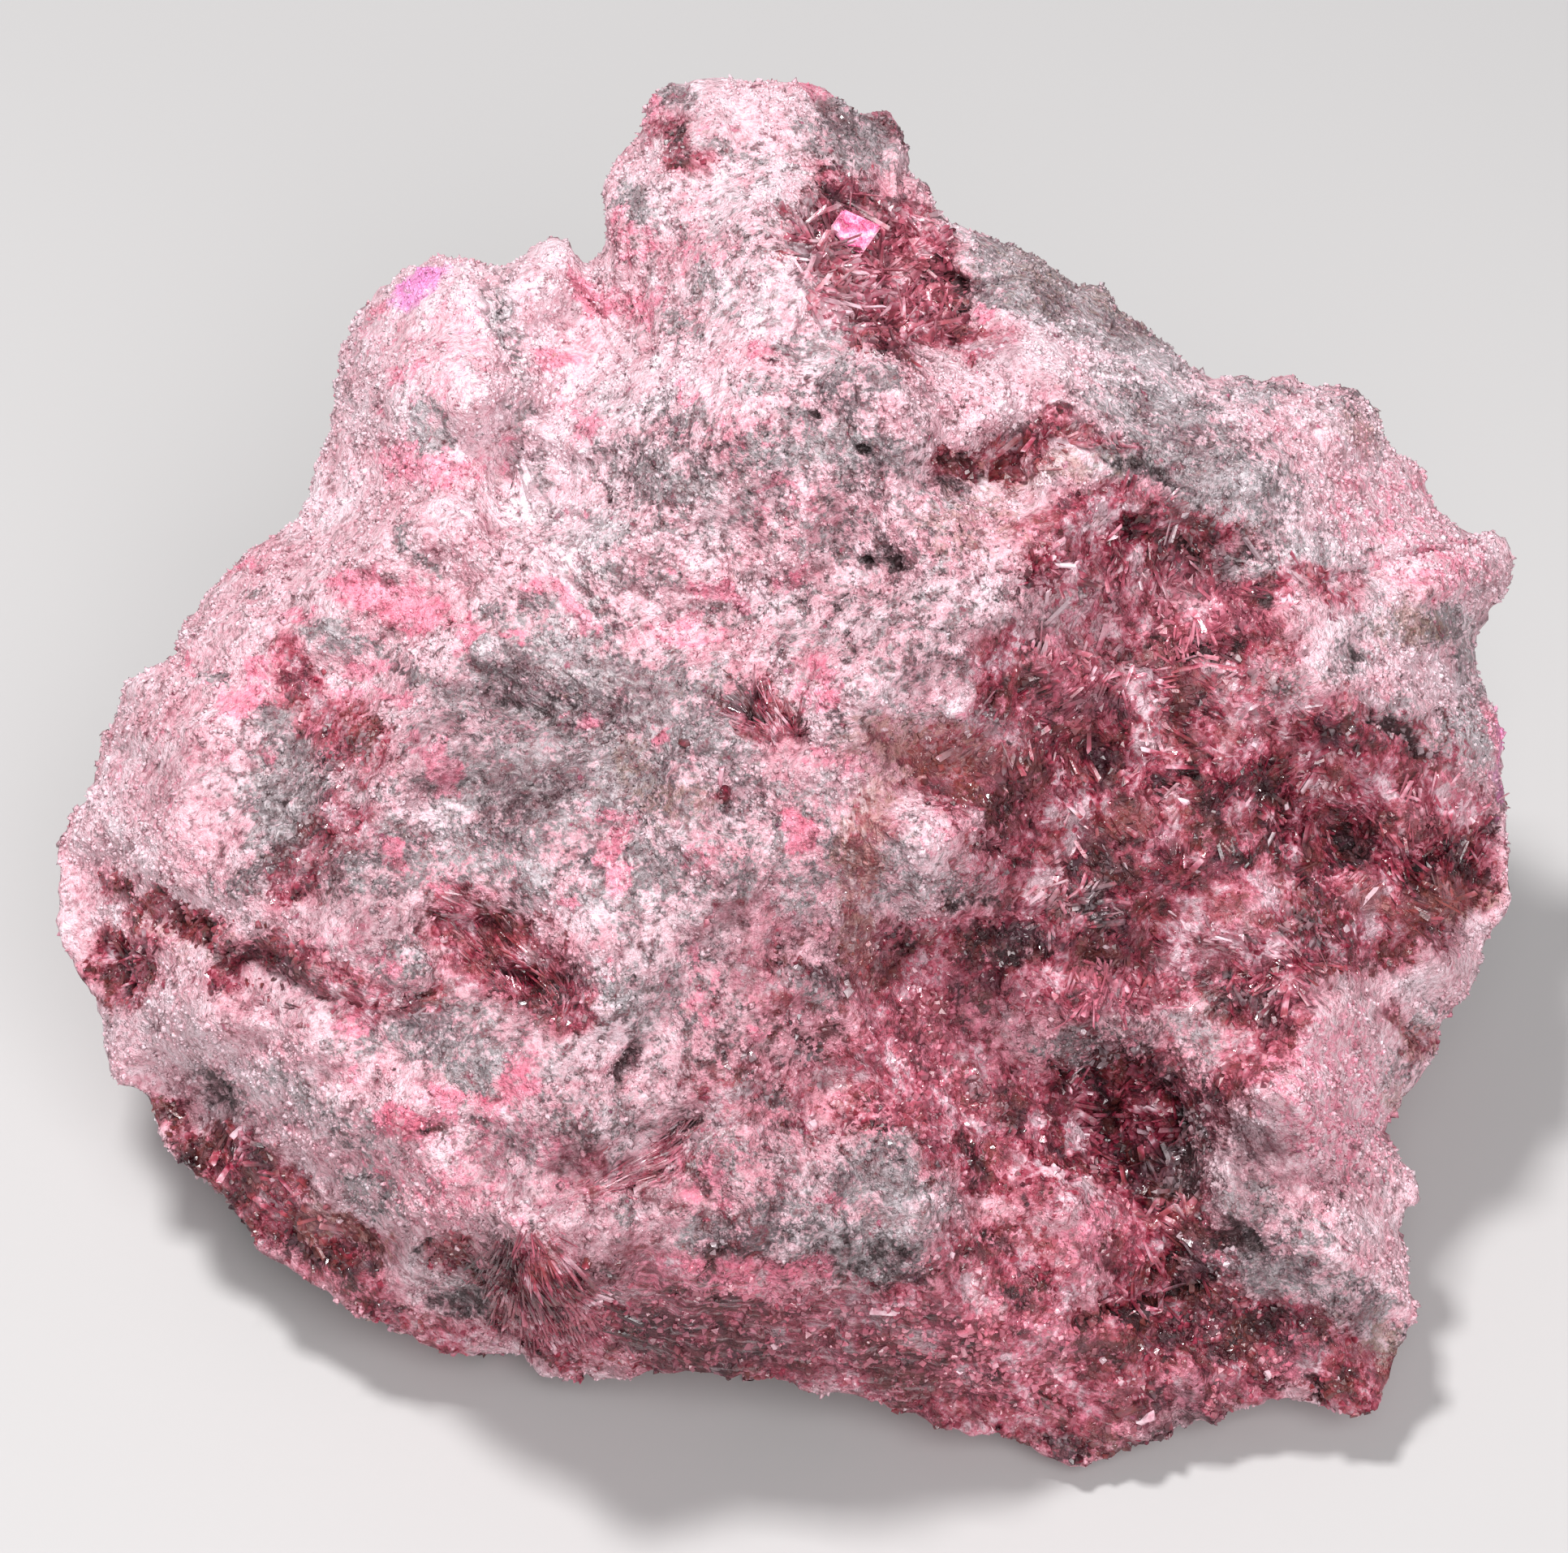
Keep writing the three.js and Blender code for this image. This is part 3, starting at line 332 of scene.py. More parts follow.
# Where each colour of the stone lies in the photograph: x, y, half width, half height, turn and strength
white = {
    "shoulder": (575, 405, 170, 84, -8, 0.8), "shoulderLow": (560, 500, 150, 70, 6, 0.75),
    "shoulderTip": (690, 315, 40, 34, 30, 1.0), "cleftSide": (690, 500, 40, 90, -10, 0.9),
    "whiteFall": (690, 640, 70, 46, 40, 0.9), "edgeLow": (420, 610, 60, 30, -40, 0.7),
    "peakTop": (900, 120, 90, 32, 6, 0.5), "peakSide": (960, 190, 90, 46, 8, 0.55),
    "peakMiddle": (880, 250, 110, 44, 6, 0.5), "peakBelow": (950, 370, 70, 70, 0, 0.6),
    "shelfTop": (800, 480, 110, 34, 4, 0.9), "shelfLow": (780, 510, 60, 24, 0, 0.9),
    "centreTop": (940, 420, 110, 40, 0, 0.4), "veil": (1390, 455, 150, 26, 22, 1.0),
    "veilRight": (1520, 500, 60, 18, 20, 0.9), "veilLeft": (1250, 430, 60, 34, 20, 0.7),
    "stripTop": (1180, 290, 60, 12, 24, 0.7), "rightLobe": (1820, 700, 40, 40, 0, 0.6),
    "rightFace": (1680, 640, 150, 110, 30, 0.6), "rightPink": (1640, 780, 90, 60, 0, 0.6),
    "rightRim": (1760, 880, 90, 80, 0, 0.9), "rightBelow": (1740, 950, 70, 26, 10, 0.7),
    "wallPale": (1640, 1340, 80, 70, -30, 0.6), "kneePale": (1740, 1180, 60, 40, 0, 0.5),
    "leftWhite": (142, 1008, 14, 36, -12, 1.0), "leftWhiteB": (160, 945, 18, 30, 0, 0.7),
    "leftWhiteC": (252, 850, 12, 26, -20, 1.0), "leftWhiteD": (300, 880, 20, 9, -15, 1.0),
    "lowLeft": (200, 1270, 80, 40, 10, 0.5), "lowLeftB": (110, 1140, 34, 34, 20, 0.5),
    "block": (590, 800, 18, 12, -10, 1.0), "blockBelow": (560, 1008, 36, 24, 0, 0.6),
    "whiteBar": (888, 956, 5, 20, 4, 1.0), "paleEye": (1186, 862, 20, 22, 0, 0.9),
    "islandA": (1160, 1040, 50, 40, 0, 0.5), "islandB": (1240, 1020, 34, 20, 0, 0.5),
    "fieldPale": (1500, 878, 36, 16, 10, 0.9), "fieldPaleB": (1510, 912, 50, 14, 6, 0.6),
    "fieldSheaf": (1420, 730, 90, 40, 40, 0.6), "fieldSheafB": (1500, 790, 60, 24, -20, 0.5),
    "fieldFoot": (1500, 1150, 90, 60, -20, 0.6), "fieldLeft": (1300, 1010, 50, 40, 0, 0.4),
    "fieldSheafC": (1330, 760, 60, 40, 0, 0.5), "fieldFar": (1740, 990, 60, 22, 30, 0.4),
    "lowKnots": (1290, 1450, 70, 60, 0, 0.4), "sliver": (1300, 672, 20, 8, -6, 1.0),
    "glint": (1450, 985, 18, 6, 22, 1.0), "eyeA": (1527, 638, 12, 11, 0, 0.9),
    "eyeB": (1555, 706, 20, 9, -6, 0.9), "eyeC": (1612, 694, 22, 9, 8, 0.9),
    "eyeD": (1660, 700, 16, 12, 0, 0.8), "eyeE": (1505, 664, 26, 9, 8, 0.9),
    "eyeF": (1440, 700, 10, 6, 0, 0.5), "wallRidge": (1514, 1430, 9, 62, -22, 0.8),
    "wallStart": (1420, 1255, 40, 14, 0, 0.9), "wallKnots": (1478, 1232, 40, 12, -8, 0.6),
    "frontWhite": (1312, 1468, 34, 20, -30, 1.0), "frontWhiteLow": (1270, 1494, 20, 12, 0, 1.0),
    "frontPale": (1330, 1540, 30, 22, 0, 0.5), "whiteSlab": (1092, 1618, 34, 8, 20, 1.0),
    "lens": (1232, 1508, 32, 7, 4, 0.9), "edgeWhite": (1462, 1702, 28, 22, 20, 1.0),
    "edgeGloss": (1402, 1752, 40, 12, -32, 0.9), "pinkBlock": (750, 1180, 60, 22, 0, 0.6),
    "pinkBlockB": (780, 1220, 30, 16, 0, 0.4), "chalk": (1230, 1130, 10, 10, 0, 0.3),
    "knotWhite": (1262, 1206, 16, 14, 0, 0.9), "knotWhiteB": (1250, 1258, 14, 22, 20, 0.8),
    "greyTop": (1055, 1470, 16, 12, 0, 0.8), "greyTopB": (970, 1462, 22, 10, 0, 0.6),
    "greyTopC": (1110, 1492, 20, 10, 0, 0.7), "greyTopD": (1075, 1465, 12, 10, 0, 0.6),
    "fallStreak": (700, 720, 60, 10, 42, 0.9), "streakLow": (730, 770, 60, 7, 40, 0.8),
    "bulge": (560, 560, 130, 50, 0, 0.7), "vugRim": (1270, 500, 60, 14, 20, 0.8),
    "vugFoot": (1260, 606, 60, 12, 0, 0.8), "pocketPale": (1060, 300, 60, 50, 40, 0.4),
    "blockLow": (765, 1255, 50, 40, 0, 0.85), "leftPocketTop": (640, 1130, 60, 30, 0, 0.8),
    "vug": (1250, 550, 48, 34, 0, 0.85), "islandC": (1240, 1060, 50, 30, 0, 0.7),
    "fieldTop": (1350, 650, 60, 34, 0, 0.7), "fieldUpper": (1450, 750, 60, 40, 0, 0.75),
    "greyFieldLow": (1560, 650, 60, 30, 0, 0.5), "rightStreak": (1700, 850, 110, 34, 0, 0.85),
    "middleTop": (700, 555, 90, 30, 0, 0.6), "wallTop": (1650, 1345, 60, 50, 0, 0.7),
    "leftSide": (150, 1050, 50, 30, 0, 0.4), "leftPale": (330, 850, 90, 30, -20, 0.5),
    "peakPocketSide": (965, 270, 50, 40, 0, 0.7), "shelfMiddle": (720, 560, 60, 30, 0, 0.5),
    "flankTop": (350, 1330, 50, 20, 30, 0.5),
}
rose = {
    "edgeRose": (470, 385, 36, 12, -32, 0.8), "fleckA": (592, 372, 22, 14, 0, 0.6),
    "cleftRed": (700, 442, 36, 16, 10, 1.0), "cleftRedTop": (716, 375, 16, 34, -30, 0.9),
    "cleftLow": (690, 490, 14, 26, 0, 0.6), "stripe": (726, 528, 14, 32, -14, 1.0),
    "stripeLow": (706, 636, 18, 8, 30, 0.7), "sideRose": (500, 452, 34, 14, 0, 0.7),
    "shoulderRose": (540, 430, 120, 70, 0, 0.4), "sideRoseB": (464, 496, 14, 9, 0, 0.7),
    "bulgeRose": (520, 572, 76, 34, 8, 0.75), "bulgeRoseB": (625, 570, 30, 34, 0, 0.6),
    "lowRose": (478, 732, 74, 28, 14, 1.0), "lowRoseTail": (540, 760, 30, 20, 30, 0.7),
    "spotLeft": (300, 694, 20, 12, -20, 0.7), "leftStreak": (372, 768, 44, 16, 0, 0.6),
    "leftStain": (300, 862, 46, 22, 0, 0.9), "leftStainB": (330, 828, 30, 14, 0, 0.7),
    "leftStainC": (246, 818, 8, 22, 0, 0.8), "middleStain": (454, 828, 26, 16, 0, 0.8),
    "middleStainB": (440, 868, 36, 10, 0, 1.0), "middleStainC": (500, 866, 18, 18, 0, 0.8),
    "leftDot": (384, 914, 12, 18, 0, 0.8), "leftDotB": (330, 930, 10, 20, -40, 0.7),
    "leftDotC": (288, 935, 9, 22, 0, 0.7), "salmonLobe": (210, 960, 90, 80, 0, 0.35),
    "redStreak": (556, 960, 20, 36, -24, 1.0), "redStreakTop": (530, 918, 26, 14, 30, 0.8),
    "pinkStreak": (482, 1048, 12, 38, -18, 0.8), "pinkStreakB": (530, 1070, 9, 40, 0, 0.6),
    "pinkPatch": (430, 1176, 46, 34, 10, 0.5), "pinkDrop": (478, 1186, 16, 22, 0, 0.6),
    "lowDrop": (432, 1248, 16, 22, 0, 0.7), "lowStain": (508, 1380, 64, 14, -10, 1.0),
    "lowStainB": (580, 1344, 50, 14, 0, 0.8), "lowStainC": (640, 1330, 32, 46, 0, 0.75),
    "lowStainD": (620, 1410, 70, 26, -10, 0.5), "lowStainE": (430, 1316, 18, 14, 0, 0.7),
    "lowPink": (480, 1440, 70, 22, 10, 0.5), "peakEdge": (800, 138, 16, 18, -50, 0.7),
    "peakPink": (880, 150, 60, 16, 10, 0.5), "peakRight": (1010, 120, 50, 10, 18, 0.7),
    "sideBlush": (785, 286, 34, 26, 20, 0.6), "sideBlushB": (770, 376, 56, 26, 10, 0.7),
    "sideBlushC": (850, 310, 60, 20, 0, 0.5), "centreBlush": (930, 430, 26, 16, 0, 0.6),
    "centreStreak": (855, 490, 40, 8, -6, 0.7), "centrePink": (930, 540, 90, 34, 0, 0.4),
    "centrePinkB": (960, 620, 60, 40, 0, 0.45), "pinkBean": (1226, 376, 18, 12, 10, 1.0),
    "rightRose": (1580, 520, 60, 22, 10, 0.4), "rightSalmon": (1720, 640, 110, 80, 40, 0.5),
    "rightSalmonB": (1780, 700, 60, 44, 0, 0.6), "rightSalmonC": (1600, 780, 50, 30, 0, 0.25),
    "rightEdge": (1836, 900, 14, 44, -25, 0.9), "whiteFallRed": (664, 728, 30, 12, 20, 0.8),
    "streakRed": (712, 752, 14, 46, -42, 1.0), "flakeRed": (572, 776, 8, 34, 30, 1.0),
    "flakeRedB": (614, 786, 14, 6, 30, 0.9), "centreRose": (890, 724, 46, 15, 24, 0.9),
    "centreRoseB": (972, 722, 18, 28, 0, 0.7), "centreRoseC": (840, 780, 60, 22, 10, 0.6),
    "centreRoseD": (1010, 840, 30, 36, 0, 0.7), "centreRoseE": (1022, 936, 40, 14, 0, 0.8),
    "dropRose": (975, 1020, 16, 28, -18, 1.0), "wedgeRose": (762, 1050, 22, 52, 6, 0.85),
    "wedgeRoseTop": (745, 1004, 30, 12, -14, 0.8), "nearGreyRose": (720, 884, 16, 14, 0, 0.7),
    "eyeRose": (818, 908, 22, 10, -10, 0.9), "paleRose": (860, 1056, 40, 14, 10, 0.6),
    "dotRose": (690, 1112, 16, 12, 0, 0.9), "lineRose": (560, 1100, 60, 8, 6, 0.5),
    "blockRose": (720, 1178, 30, 8, 0, 0.7), "belowBlock": (876, 1240, 18, 40, 6, 0.6),
    "belowBlockB": (850, 1185, 20, 40, 20, 0.5), "fringeRose": (930, 1265, 26, 14, 0, 0.7),
    "greyRose": (1022, 1470, 22, 14, 0, 0.8), "greyRoseB": (876, 1460, 34, 40, 10, 0.6),
    "frontRose": (900, 1580, 110, 20, -4, 1.0), "frontRoseB": (985, 1556, 28, 20, 0, 1.0),
    "frontRoseC": (830, 1560, 40, 14, 0, 0.7), "wedgeBack": (820, 1450, 40, 34, -20, 0.5),
    "islandRose": (1160, 1030, 26, 22, 0, 0.6), "eyeRoseB": (1190, 870, 14, 9, 0, 1.0),
    "fieldKnot": (1408, 782, 26, 24, 20, 1.0), "fieldUpper": (1430, 760, 120, 60, 0, 0.8),
    "fieldUpperB": (1330, 830, 60, 60, 0, 0.5), "fieldFar": (1760, 980, 60, 34, 20, 0.5),
    "pocketBlush": (1080, 330, 110, 70, 40, 0.45), "fieldWedge": (1350, 1226, 40, 26, 10, 0.8),
    "fieldPink": (1520, 1106, 34, 20, 10, 0.25), "wallRose": (1560, 1300, 50, 40, -40, 0.5),
    "wallRoseB": (1640, 1370, 90, 90, 0, 0.6), "kneeRose": (1790, 1180, 30, 24, 0, 0.4),
    "frontBlush": (1340, 1520, 40, 40, 0, 0.7), "frontBlushB": (1250, 1640, 90, 40, 0, 0.8),
    "edgePink": (1588, 1682, 24, 20, 0, 0.9), "edgePinkB": (1480, 1715, 40, 24, 0, 0.7),
    "frontFlank": (950, 1640, 260, 36, 6, 0.7), "frontFlankRight": (1230, 1680, 140, 50, 22, 1.0),
    "leftFlank": (600, 1450, 150, 70, 0, 0.5), "lowField": (1180, 1290, 110, 70, 0, 0.5),
    "wall": (1640, 1350, 90, 110, -20, 0.6), "islandLow": (1150, 1230, 60, 30, 0, 0.5),
}
grey = {
    "fieldAsh": (1560, 850, 60, 44, 0, 0.7), "footAsh": (1550, 1140, 50, 40, 0, 0.6),
    "footAshLow": (1500, 1245, 80, 36, -20, 0.5), "shoulderSpot": (533, 530, 20, 46, 4, 0.9),
    "shoulderSpotB": (505, 662, 12, 16, 40, 0.8), "shoulderSpotC": (528, 694, 22, 12, 30, 0.8),
    "cleftShade": (664, 584, 24, 22, 20, 0.45), "slitShade": (626, 400, 9, 56, -12, 0.8),
    "valley": (640, 515, 12, 30, 0, 0.7), "leftSmall": (322, 726, 14, 8, 30, 0.7),
    "leftBar": (424, 790, 46, 15, 0, 0.9), "leftBarB": (486, 826, 40, 10, 16, 0.9),
    "leftDot": (265, 836, 16, 20, 0, 0.8), "leftDotB": (348, 884, 26, 18, 0, 0.9),
    "leftMass": (352, 990, 54, 62, 0, 1.0), "leftMassTop": (350, 925, 30, 30, 0, 0.9),
    "leftMassLow": (330, 1080, 50, 26, -10, 0.8), "leftMassRight": (470, 1060, 60, 44, 0, 0.8),
    "midMass": (430, 960, 70, 60, 0, 0.5), "fibreTop": (640, 760, 60, 26, 20, 0.8),
    "fibreMass": (700, 850, 130, 70, 14, 1.0), "fibreLow": (690, 960, 150, 60, 0, 0.95),
    "fibreRight": (840, 880, 90, 60, 0, 0.85), "fibreFoot": (850, 960, 50, 26, 0, 0.7),
    "lowMass": (620, 1050, 90, 60, 0, 0.75), "lowMassB": (560, 1110, 50, 40, 0, 0.5),
    "darkEgg": (806, 1064, 34, 34, 0, 1.0), "smoothGrey": (540, 1262, 70, 40, 10, 0.85),
    "smoothGreyB": (585, 1302, 40, 26, 10, 1.0), "smoothGreyC": (450, 1270, 40, 30, 0, 0.6),
    "smoothGreyD": (500, 1196, 30, 50, 10, 0.7), "lowGrey": (360, 1340, 60, 30, 30, 0.5),
    "lowGreyB": (430, 1390, 50, 26, 30, 0.6), "lowGreyC": (450, 1470, 40, 24, 30, 0.7),
    "lowGreyD": (700, 1300, 40, 60, 0, 0.4), "blockHeart": (756, 1222, 50, 22, 0, 0.75),
    "blockSide": (850, 1150, 26, 60, 10, 0.5), "peakSpot": (785, 244, 22, 22, 20, 1.0),
    "peakGrey": (830, 122, 30, 16, -10, 0.8), "peakGreyB": (1050, 170, 60, 40, 30, 0.85),
    "peakGreyC": (880, 350, 50, 30, 0, 0.65), "peakGreyD": (1000, 424, 60, 20, 0, 0.7),
    "peakGreyE": (900, 190, 60, 16, 20, 0.6), "centreSpot": (835, 408, 32, 20, 0, 0.8),
    "centreSpotB": (900, 370, 34, 40, 0, 0.5), "centreSpotC": (990, 430, 24, 14, 0, 0.7),
    "pitGrey": (760, 500, 40, 20, 0, 0.5), "pitGreyB": (840, 520, 50, 20, 0, 0.7),
    "pitGreyC": (960, 478, 50, 14, 0, 0.7), "knob": (1046, 480, 40, 42, 0, 0.8),
    "knobDark": (1086, 472, 20, 18, 0, 1.0), "knobFoot": (1050, 548, 90, 34, 8, 0.85),
    "midBand": (960, 560, 50, 30, 10, 0.8), "midLow": (820, 596, 70, 30, 4, 0.85),
    "midLowB": (800, 560, 60, 18, 4, 0.6), "midFlank": (760, 660, 40, 26, 20, 0.7),
    "midFlankB": (725, 640, 24, 18, 0, 0.6), "midFlankC": (760, 700, 60, 16, 10, 0.5),
    "midFlankD": (835, 700, 30, 40, 0, 0.5), "lowRow": (740, 745, 30, 16, 20, 0.8),
    "greyStripA": (1290, 342, 110, 46, 30, 1.0), "greyStripB": (1388, 402, 100, 44, 32, 1.0),
    "greyStripC": (1240, 350, 50, 40, 20, 0.6), "topSlab": (1120, 275, 60, 16, 26, 0.7),
    "greyField": (1480, 575, 110, 60, 24, 1.0), "greyFieldTop": (1430, 505, 80, 30, 20, 0.9),
    "greyFieldLow": (1600, 670, 80, 34, 20, 0.6), "greyFieldEdge": (1400, 570, 50, 40, 20, 0.9),
    "greyRim": (1560, 480, 60, 14, 4, 0.8), "greyRimB": (1660, 500, 40, 20, 20, 0.7),
    "darkBand": (1535, 695, 60, 20, 6, 0.8), "rightGrey": (1776, 775, 34, 34, 30, 0.9),
    "rightBrown": (1730, 772, 34, 30, 0, 0.5), "rightMottle": (1712, 888, 56, 34, 14, 0.9),
    "rightMottleB": (1790, 920, 50, 40, 0, 0.8), "rightMottleC": (1660, 812, 24, 26, 0, 0.6),
    "rightMottleD": (1690, 760, 24, 50, 0, 0.5), "rightStem": (1826, 820, 12, 60, 0, 0.6),
    "edgeGrey": (1840, 1010, 12, 80, 0, 0.6), "islandGrey": (1190, 1090, 60, 34, 0, 0.7),
    "islandGreyB": (1105, 1070, 30, 60, 0, 0.7), "islandGreyC": (1210, 905, 34, 40, 0, 0.7),
    "islandGreyD": (1150, 800, 50, 60, 0, 0.4), "fieldGrey": (1330, 740, 26, 34, 10, 0.9),
    "fieldGreyB": (1300, 775, 40, 30, 0, 0.6), "fieldGreyC": (1375, 830, 18, 26, 0, 0.8),
    "fieldGreyD": (1530, 1040, 34, 12, 20, 0.6), "fieldGreyE": (1320, 1120, 50, 40, 0, 0.5),
    "footGrey": (1480, 1180, 60, 60, -30, 0.7), "footGreyB": (1420, 1270, 60, 20, 0, 0.7),
    "footGreyC": (1330, 1290, 50, 22, 10, 0.9), "footGreyD": (1610, 1150, 30, 30, 0, 0.6),
    "footGreyE": (1480, 1300, 40, 40, 0, 0.6), "wallGrey": (1475, 1420, 30, 60, 0, 0.8),
    "wallGreyB": (1545, 1480, 40, 30, 20, 0.6), "wallGreyC": (1550, 1570, 70, 40, 0, 1.0),
    "wallGreyD": (1680, 1600, 60, 40, 10, 0.7), "wallGreyE": (1600, 1530, 60, 40, 0, 0.6),
    "wallGreyF": (1710, 1640, 30, 40, 0, 0.7), "wallMottle": (1680, 1430, 50, 18, 20, 0.4),
    "wallEdge": (1730, 1320, 30, 30, -40, 0.5), "triangle": (1752, 1250, 30, 36, 30, 0.6),
    "knobsA": (1090, 1450, 70, 50, 0, 0.95), "knobsB": (1060, 1540, 90, 50, 0, 1.0),
    "knobsC": (960, 1490, 50, 40, 0, 0.8), "knobsD": (890, 1430, 50, 34, 0, 0.75),
    "knobsE": (890, 1530, 60, 36, 0, 0.9), "knobsF": (1160, 1500, 40, 40, 0, 0.6),
    "knobsG": (930, 1352, 40, 30, 0, 0.8), "knobsH": (1006, 1318, 30, 26, -40, 0.8),
    "knobsI": (1140, 1440, 30, 34, 0, 0.6), "footSmall": (1050, 1610, 30, 30, 0, 0.8),
    "lensGrey": (1212, 1345, 12, 54, -28, 0.9), "sideSmall": (775, 1520, 18, 28, 0, 0.7),
    "upperCentre": (1010, 1210, 40, 26, 0, 0.8), "frontSmall": (1290, 1765, 30, 14, 10, 0.6),
    "chin": (575, 1600, 34, 18, 10, 0.8), "chinB": (540, 1560, 34, 14, 30, 0.6),
    "flankGrey": (300, 1350, 60, 26, 30, 0.4), "middleWide": (740, 930, 240, 130, 10, 0.64),
    "middleLow": (800, 1080, 240, 66, 4, 0.58), "centreLow": (960, 1060, 130, 100, 0, 0.56),
    "lowLeftWide": (560, 1270, 160, 60, 10, 0.5), "blockWide": (860, 1250, 130, 120, 0, 0.52),
    "bandWide": (900, 600, 210, 90, 6, 0.5), "shelfWide": (1080, 640, 170, 110, 0, 0.45),
    "pinkWide": (1080, 830, 130, 100, 0, 0.46), "lowPinkWide": (700, 1390, 150, 70, 0, 0.48),
    "leftWide": (400, 1000, 130, 110, 0, 0.5), "frontWide": (880, 1420, 150, 90, 0, 0.5),
    "peakWide": (930, 290, 150, 110, 0, 0.4), "cornerWide": (360, 800, 130, 70, -20, 0.25),
    "fallWide": (720, 700, 120, 80, 40, 0.42), "shelfLowWide": (1050, 755, 220, 50, 0, 0.48),
}
crimson = {
    "pocket": (1090, 330, 100, 62, 42, 1.0), "pocketTop": (1030, 240, 44, 26, 40, 0.9),
    "pocketLow": (1150, 410, 90, 22, 10, 0.9), "vug": (1252, 556, 34, 34, 0, 1.0),
    "vugTail": (1345, 536, 44, 12, 12, 1.0), "vugLink": (1295, 520, 40, 12, 0, 0.7),
    "smallVug": (1175, 575, 22, 16, 0, 0.9), "fieldTop": (1400, 670, 120, 50, 4, 1.0),
    "fieldUpper": (1440, 790, 130, 70, 0, 1.0), "fieldMiddle": (1420, 920, 180, 90, 0, 1.0),
    "fieldRight": (1640, 980, 150, 110, 10, 1.0), "fieldEdge": (1760, 1060, 80, 60, 0, 1.0),
    "fieldLow": (1380, 1060, 150, 110, 0, 1.0), "fieldFoot": (1380, 1180, 130, 70, 0, 0.9),
    "fieldFootRight": (1560, 1180, 90, 60, -40, 0.8), "fieldFootEdge": (1560, 1280, 30, 90, 38, 0.9),
    "fieldCorner": (1620, 730, 50, 20, 6, 0.9), "leftShoulder": (1240, 830, 44, 60, 0, 0.8),
    "brownSlope": (1150, 930, 70, 40, 10, 0.6), "brownSlopeLow": (1060, 1080, 34, 110, 6, 0.5),
    "lowField": (1150, 1200, 120, 60, 0, 0.85), "lowFieldB": (1130, 1320, 140, 80, 0, 0.65),
    "lowFieldC": (1250, 1400, 90, 80, 0, 0.8), "deepHollow": (1385, 1390, 100, 90, 0, 1.0),
    "lowHollow": (1440, 1540, 60, 90, 0, 1.0), "groove": (1400, 1610, 110, 24, 0, 0.9),
    "lowFront": (1240, 1560, 110, 60, 0, 0.6), "lowFrontB": (1370, 1680, 90, 60, 0, 0.7),
    "lowFrontC": (1160, 1650, 140, 60, 8, 0.78), "rightFoot": (1560, 1640, 70, 30, 0, 0.9),
    "rightFootB": (1660, 1700, 50, 40, 0, 0.9), "rightFootC": (1520, 1720, 50, 20, 0, 0.6),
    "lowFieldLeft": (950, 1340, 110, 60, 0, 0.42), "lowFieldTop": (1020, 1240, 120, 60, 0, 0.38),
    "frontEdge": (860, 1570, 150, 34, -4, 0.45), "wedgeSide": (860, 1440, 90, 60, 0, 0.32),
    "frontFlank": (960, 1655, 250, 56, 6, 0.8), "frontFlankRight": (1230, 1710, 170, 60, 22, 0.8),
    "flankG": (330, 1480, 66, 40, 44, 0.8), "flankH": (440, 1590, 90, 36, 34, 0.6),
    "flankI": (250, 1400, 44, 26, 44, 0.8), "centreFan": (940, 878, 50, 30, 35, 0.95),
    "drop": (890, 976, 12, 14, 30, 1.0), "dropB": (810, 905, 10, 6, 0, 0.7),
    "leftStreak": (372, 850, 22, 60, -18, 0.8), "leftStreakB": (430, 915, 50, 36, 20, 0.7),
    "leftStreakC": (416, 1020, 40, 24, -20, 0.95), "leftStreakD": (376, 1076, 32, 40, 10, 0.85),
    "leftStreakE": (360, 1125, 34, 16, 0, 0.6), "ledge": (228, 1132, 54, 18, 14, 1.0),
    "ledgeTop": (145, 1090, 20, 14, 40, 0.7), "notch": (150, 1190, 42, 40, 0, 0.9),
    "band": (380, 1190, 100, 16, 18, 0.9), "bandLeft": (296, 1185, 22, 22, 0, 1.0),
    "bandRight": (490, 1232, 60, 14, 0, 0.8), "leftPocket": (620, 1180, 90, 50, 34, 0.9),
    "leftPocketLow": (690, 1235, 36, 36, 20, 0.9), "stainHeart": (520, 1384, 40, 9, -10, 0.6),
    "flankA": (216, 1376, 34, 18, 30, 1.0), "flankB": (290, 1440, 70, 34, 40, 1.0),
    "flankC": (400, 1550, 60, 22, 30, 0.7), "flankD": (560, 1650, 40, 22, 30, 0.7),
    "flankE": (560, 1540, 34, 26, 20, 0.8), "flankF": (590, 1575, 20, 14, 0, 1.0),
    "slopeBrown": (440, 1520, 50, 14, 26, 0.7), "wedge": (780, 1440, 80, 26, -20, 0.8),
    "spray": (660, 1590, 70, 60, 0, 0.8), "blades": (760, 1618, 34, 22, 0, 1.0),
    "chipRed": (690, 1670, 30, 14, 40, 0.9), "peakFan": (835, 178, 44, 18, 34, 0.75),
    "peakRight": (1064, 140, 40, 20, 30, 0.5), "greenLine": (950, 1150, 90, 24, 6, 0.4),
    "upperMiddle": (960, 1210, 60, 40, 0, 0.45), "kneeFace": (1735, 1262, 44, 12, 46, 0.6),
    "fieldLeftWide": (1230, 950, 110, 60, 0, 0.8), "fieldEdgeLow": (1710, 1140, 80, 44, -24, 0.8),
    "footWide": (1500, 1660, 110, 50, 0, 0.8),
}
